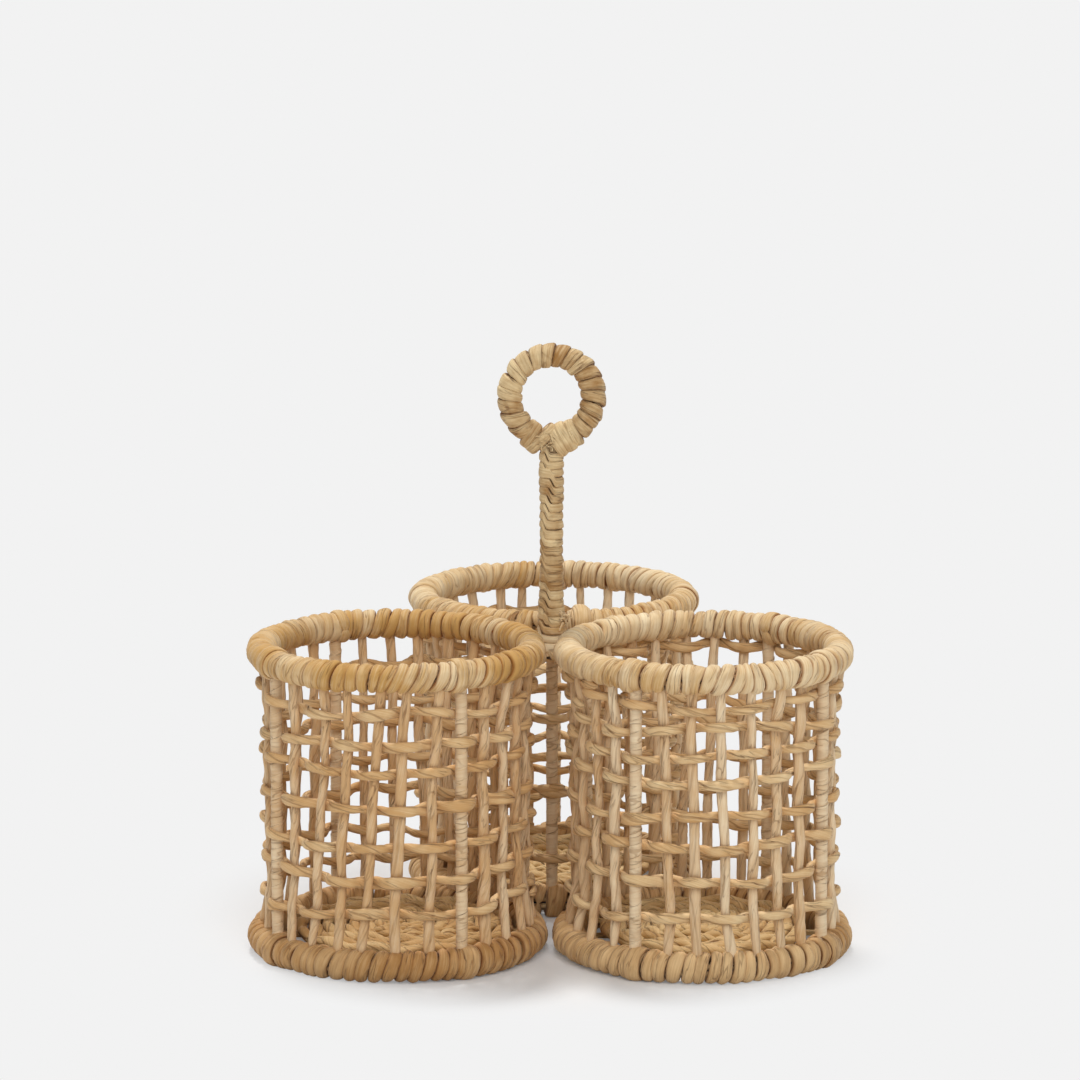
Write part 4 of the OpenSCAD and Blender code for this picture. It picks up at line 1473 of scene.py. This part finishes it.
    def neck(self) -> list[Strand]:
        """Turns under the ring, and strips that lean together where it meets the stem.

        Returns:
            The wound strip, its lining, the leaning strips and the torn fibres.
        """
        strands = self.wrapped("neck_lashing", self.neck_wrap)
        centre = np.array([0.0, self.stem_y, self.ring_z - self.ring_r])
        count = 60
        turn = np.linspace(0.0, self.crossing_span, count) + math.pi / 2
        out = np.array([0.0, -1.0, 0.0])
        ends = rounded_ends(count, ends=6, least=0.3)
        for crossing in self.crossings:
            lean = math.radians(crossing.tilt)
            along = np.array([math.cos(lean), 0.0, math.sin(lean)])
            front = np.outer(np.cos(turn), out)
            aside = np.outer(np.sin(turn), along)
            middle = centre + np.array([crossing.shift, 0.0, crossing.lift])
            strands.append(Strand(
                middle + front * crossing.reach + aside * crossing.length, front + aside,
                self.crossing_w * ends, self.crossing_t * ends, drift(self.rng, count, knots=4, size=0.1),
                self.rng.uniform()))
        return strands + self.neck_fibres.strands(self.rng, centre)

    def hub(self) -> list[Strand]:
        """Turns on the stem between the rims, and on the feet that go out to the posts.

        Returns:
            The wound strip, its lining, the torn fibres and the strips on the feet.
        """
        top = node_box("hub_lashing")[1][2]
        foot_z = node_box("stem_wire")[0][2] + self.foot_r
        strands = self.wrapped("hub_lashing", self.hub_wrap)
        strands += self.hub_fibres.strands(self.rng, np.array([0.0, self.stem_y, top]))
        steps = 20
        u = np.arange(self.foot_turns * steps + 1) / steps
        angle = TAU * u
        out = self.foot_from + self.foot_run * u / self.foot_turns
        for way in self.feet:
            rho = self.foot_r + self.foot_over + self.rng.uniform(*self.foot_reaches)
            points = np.column_stack([out, rho * np.cos(angle), rho * np.sin(angle)])
            facing = np.column_stack([np.zeros(len(u)), np.cos(angle), np.sin(angle)])
            strip = Strand(
                points, facing, covering(points, steps, self.overlap), self.foot_t, roll=0.1,
                tone=self.rng.uniform())
            strands.append(strip.about_z(way, (0.0, self.stem_y, foot_z)))
        return strands

    def build(self, shop: Workshop) -> None:
        """Makes all pieces of the handle.

        Args:
            shop: The workshop that grows and dresses them.
        """
        shop.wire("stem_wire")
        shop.wire("ring_wire")
        pieces = {
            "stem_binding": (self.wrapped("stem_binding", self.stem_wrap), Finish.STEM),
            "ring_binding": (self.ring(), Finish.STEM),
            "neck_lashing": (self.neck(), Finish.STEM),
            "hub_lashing": (self.hub(), Finish.RIM),
        }
        for node, (strands, finish) in pieces.items():
            shop.rush(node, strands, self.twist, finish)


@dataclass(frozen=True)
class Lamp:
    """A far soft lamp: where it stands, seen from the carrier, and how strong and how wide it is."""

    name: str
    energy: float
    height: float     # angle above the floor, in degrees
    side: float       # angle from straight in front, to the right, in degrees
    width: float      # angle that it covers, in degrees

    def build(self) -> None:
        """Adds the lamp."""
        data = bpy.data.lights.new(self.name, "SUN")
        data.energy = self.energy
        data.angle = math.radians(self.width)
        lamp = bpy.data.objects.new(self.name, data)
        lamp.rotation_euler = (TAU / 4 - math.radians(self.height), 0.0, math.radians(self.side))
        bpy.context.scene.collection.objects.link(lamp)


@dataclass(frozen=True)
class Studio:
    """Pale floor, soft light from behind and from the front, and the camera."""

    LAMPS = (
        Lamp("key", energy=1.9, height=72, side=-162, width=10),
        Lamp("fill", energy=1.2, height=42, side=8, width=40),
    )
    floor_r: float = 40.0         # in metres, as are the other lengths of the floor
    floor_sides: int = 64
    floor_sink: float = 0.0002    # how far it lies below the carrier, so that no faces coincide
    paper: str = "#f2f2f2"
    lit_paper: str = "#e6e6e6"    # of the floor, which the lamps brighten to the paper's level
    shadow_fill: float = 0.1      # share of the floor's shadow that the camera doesn't see
    shadow_near: float = 0.12     # distance from the middle at which the shadow begins to fade
    shadow_far: float = 0.19      # and where it is gone
    dome: float = 0.3             # strength of the light from all round
    lens: float = 188.826         # focal length, in millimetres, as are the camera's other lengths
    sensor: float = 36.0
    distance: float = 2600.0      # of the camera from the stem
    height: float = 678.7         # of the camera above the floor
    side: float = -5.34           # of the camera from straight in front
    pitch: float = math.radians(10.739)   # how far it looks down
    yaw: float = math.radians(0.883)      # how far it is turned about the stem

    def build(self) -> None:
        """Makes the floor, the light and the camera."""
        self.floor()
        self.light()
        self.camera()

    def floor(self) -> None:
        """Lays a round pale floor, which shows the camera its shadow near the carrier alone."""
        mesh = bpy.data.meshes.new("studio_floor")
        ring = [
            (self.floor_r * math.cos(angle), self.floor_r * math.sin(angle), -self.floor_sink)
            for angle in (TAU * i / self.floor_sides for i in range(self.floor_sides))
        ]
        mesh.from_pydata(ring, [], [list(range(self.floor_sides))])
        floor = bpy.data.objects.new("studio_floor", mesh)
        bpy.context.scene.collection.objects.link(floor)
        material = bpy.data.materials.new("matt_paper")
        material.use_nodes = True
        tree = material.node_tree
        tree.nodes.clear()
        lit = add_node(tree, "ShaderNodeBsdfDiffuse", {"Color": linear(self.lit_paper)})
        plain = add_node(tree, "ShaderNodeEmission", {"Color": linear(self.paper), "Strength": 1.0})
        rays = add_node(tree, "ShaderNodeLightPath")
        place = add_node(tree, "ShaderNodeTexCoord")
        away = add_node(tree, VECTOR_MATH, {0: place.outputs["Object"]}, operation="LENGTH")
        fade = add_node(tree, MAP_RANGE, {
            "Value": away.outputs["Value"], "From Min": self.shadow_near, "From Max": self.shadow_far,
            "To Min": self.shadow_fill, "To Max": 1.0}, interpolation_type="SMOOTHSTEP")
        share = add_node(tree, MATH, {0: rays.outputs["Is Camera Ray"], 1: fade}, operation="MULTIPLY")
        surface = add_node(tree, "ShaderNodeMixShader", {0: share, 1: lit, 2: plain})
        add_node(tree, "ShaderNodeOutputMaterial", {"Surface": surface})
        mesh.materials.append(material)

    def light(self) -> None:
        """Sets the dome and the lamps."""
        world = bpy.data.worlds.new("studio_dome")
        world.use_nodes = True
        tree = world.node_tree
        tree.nodes.clear()
        rays = add_node(tree, "ShaderNodeLightPath")
        seen = add_node(tree, MATH, {
            0: rays.outputs["Is Camera Ray"], 1: rays.outputs["Is Glossy Ray"]}, operation="MAXIMUM")
        seen = add_node(tree, MATH, {
            0: seen, 1: rays.outputs["Is Transmission Ray"]}, operation="MAXIMUM")
        dome = add_node(tree, "ShaderNodeBackground", {"Color": linear("#ffffff"), "Strength": self.dome})
        paper = add_node(tree, "ShaderNodeBackground", {"Color": linear(self.paper), "Strength": 1.0})
        mix = add_node(tree, "ShaderNodeMixShader", {0: seen, 1: dome, 2: paper})
        add_node(tree, "ShaderNodeOutputWorld", {"Surface": mix})
        bpy.context.scene.world = world
        for lamp in self.LAMPS:
            lamp.build()

    def camera(self) -> None:
        """Sets the camera at the photograph's viewing angle, turned about the stem."""
        low, high = node_box("ring_wire")
        stem_y = (low[1] + high[1]) / 2
        c, s = math.cos(self.yaw), math.sin(self.yaw)
        data = bpy.data.cameras.new("camera")
        data.lens = self.lens
        data.sensor_width = self.sensor
        camera = bpy.data.objects.new("camera", data)
        camera.location = Vector((
            c * self.side + s * self.distance, stem_y + s * self.side - c * self.distance, self.height)) * MM
        camera.rotation_euler = (TAU / 4 - self.pitch, 0.0, self.yaw)
        bpy.context.scene.collection.objects.link(camera)
        bpy.context.scene.camera = camera
        bpy.context.scene.view_settings.view_transform = "Standard"


def main() -> None:
    """Builds the studio, the baskets and the handle."""
    logging.basicConfig(level=logging.INFO, format="%(name)s %(message)s")
    Studio().build()
    shop = Workshop()
    for basket in (
        Basket(
            name="left", turn=math.radians(210), rows=(29.0, 44.4, 61.7, 79.0, 96.3, 108.0, 124.0), seed=11,
            leans=(9.0, -2.0, 3.0, -3.0), tan=0.5),
        Basket(
            name="right", turn=math.radians(330), rows=(28.4, 46.3, 61.7, 77.7, 93.8, 105.5, 117.5, 129.5),
            seed=12, leans=(2.0, -3.0, 2.0, -4.0)),
        Basket(
            name="back", turn=math.radians(90), rows=(28.0, 43.0, 60.0, 76.5, 94.0, 108.0, 124.0), seed=13,
            leans=(3.0, -2.0, -4.0, 2.0), knots=(13.0,)),
    ):
        basket.build(shop)
    Handle().build(shop)


if __name__ == "__main__":
    main()
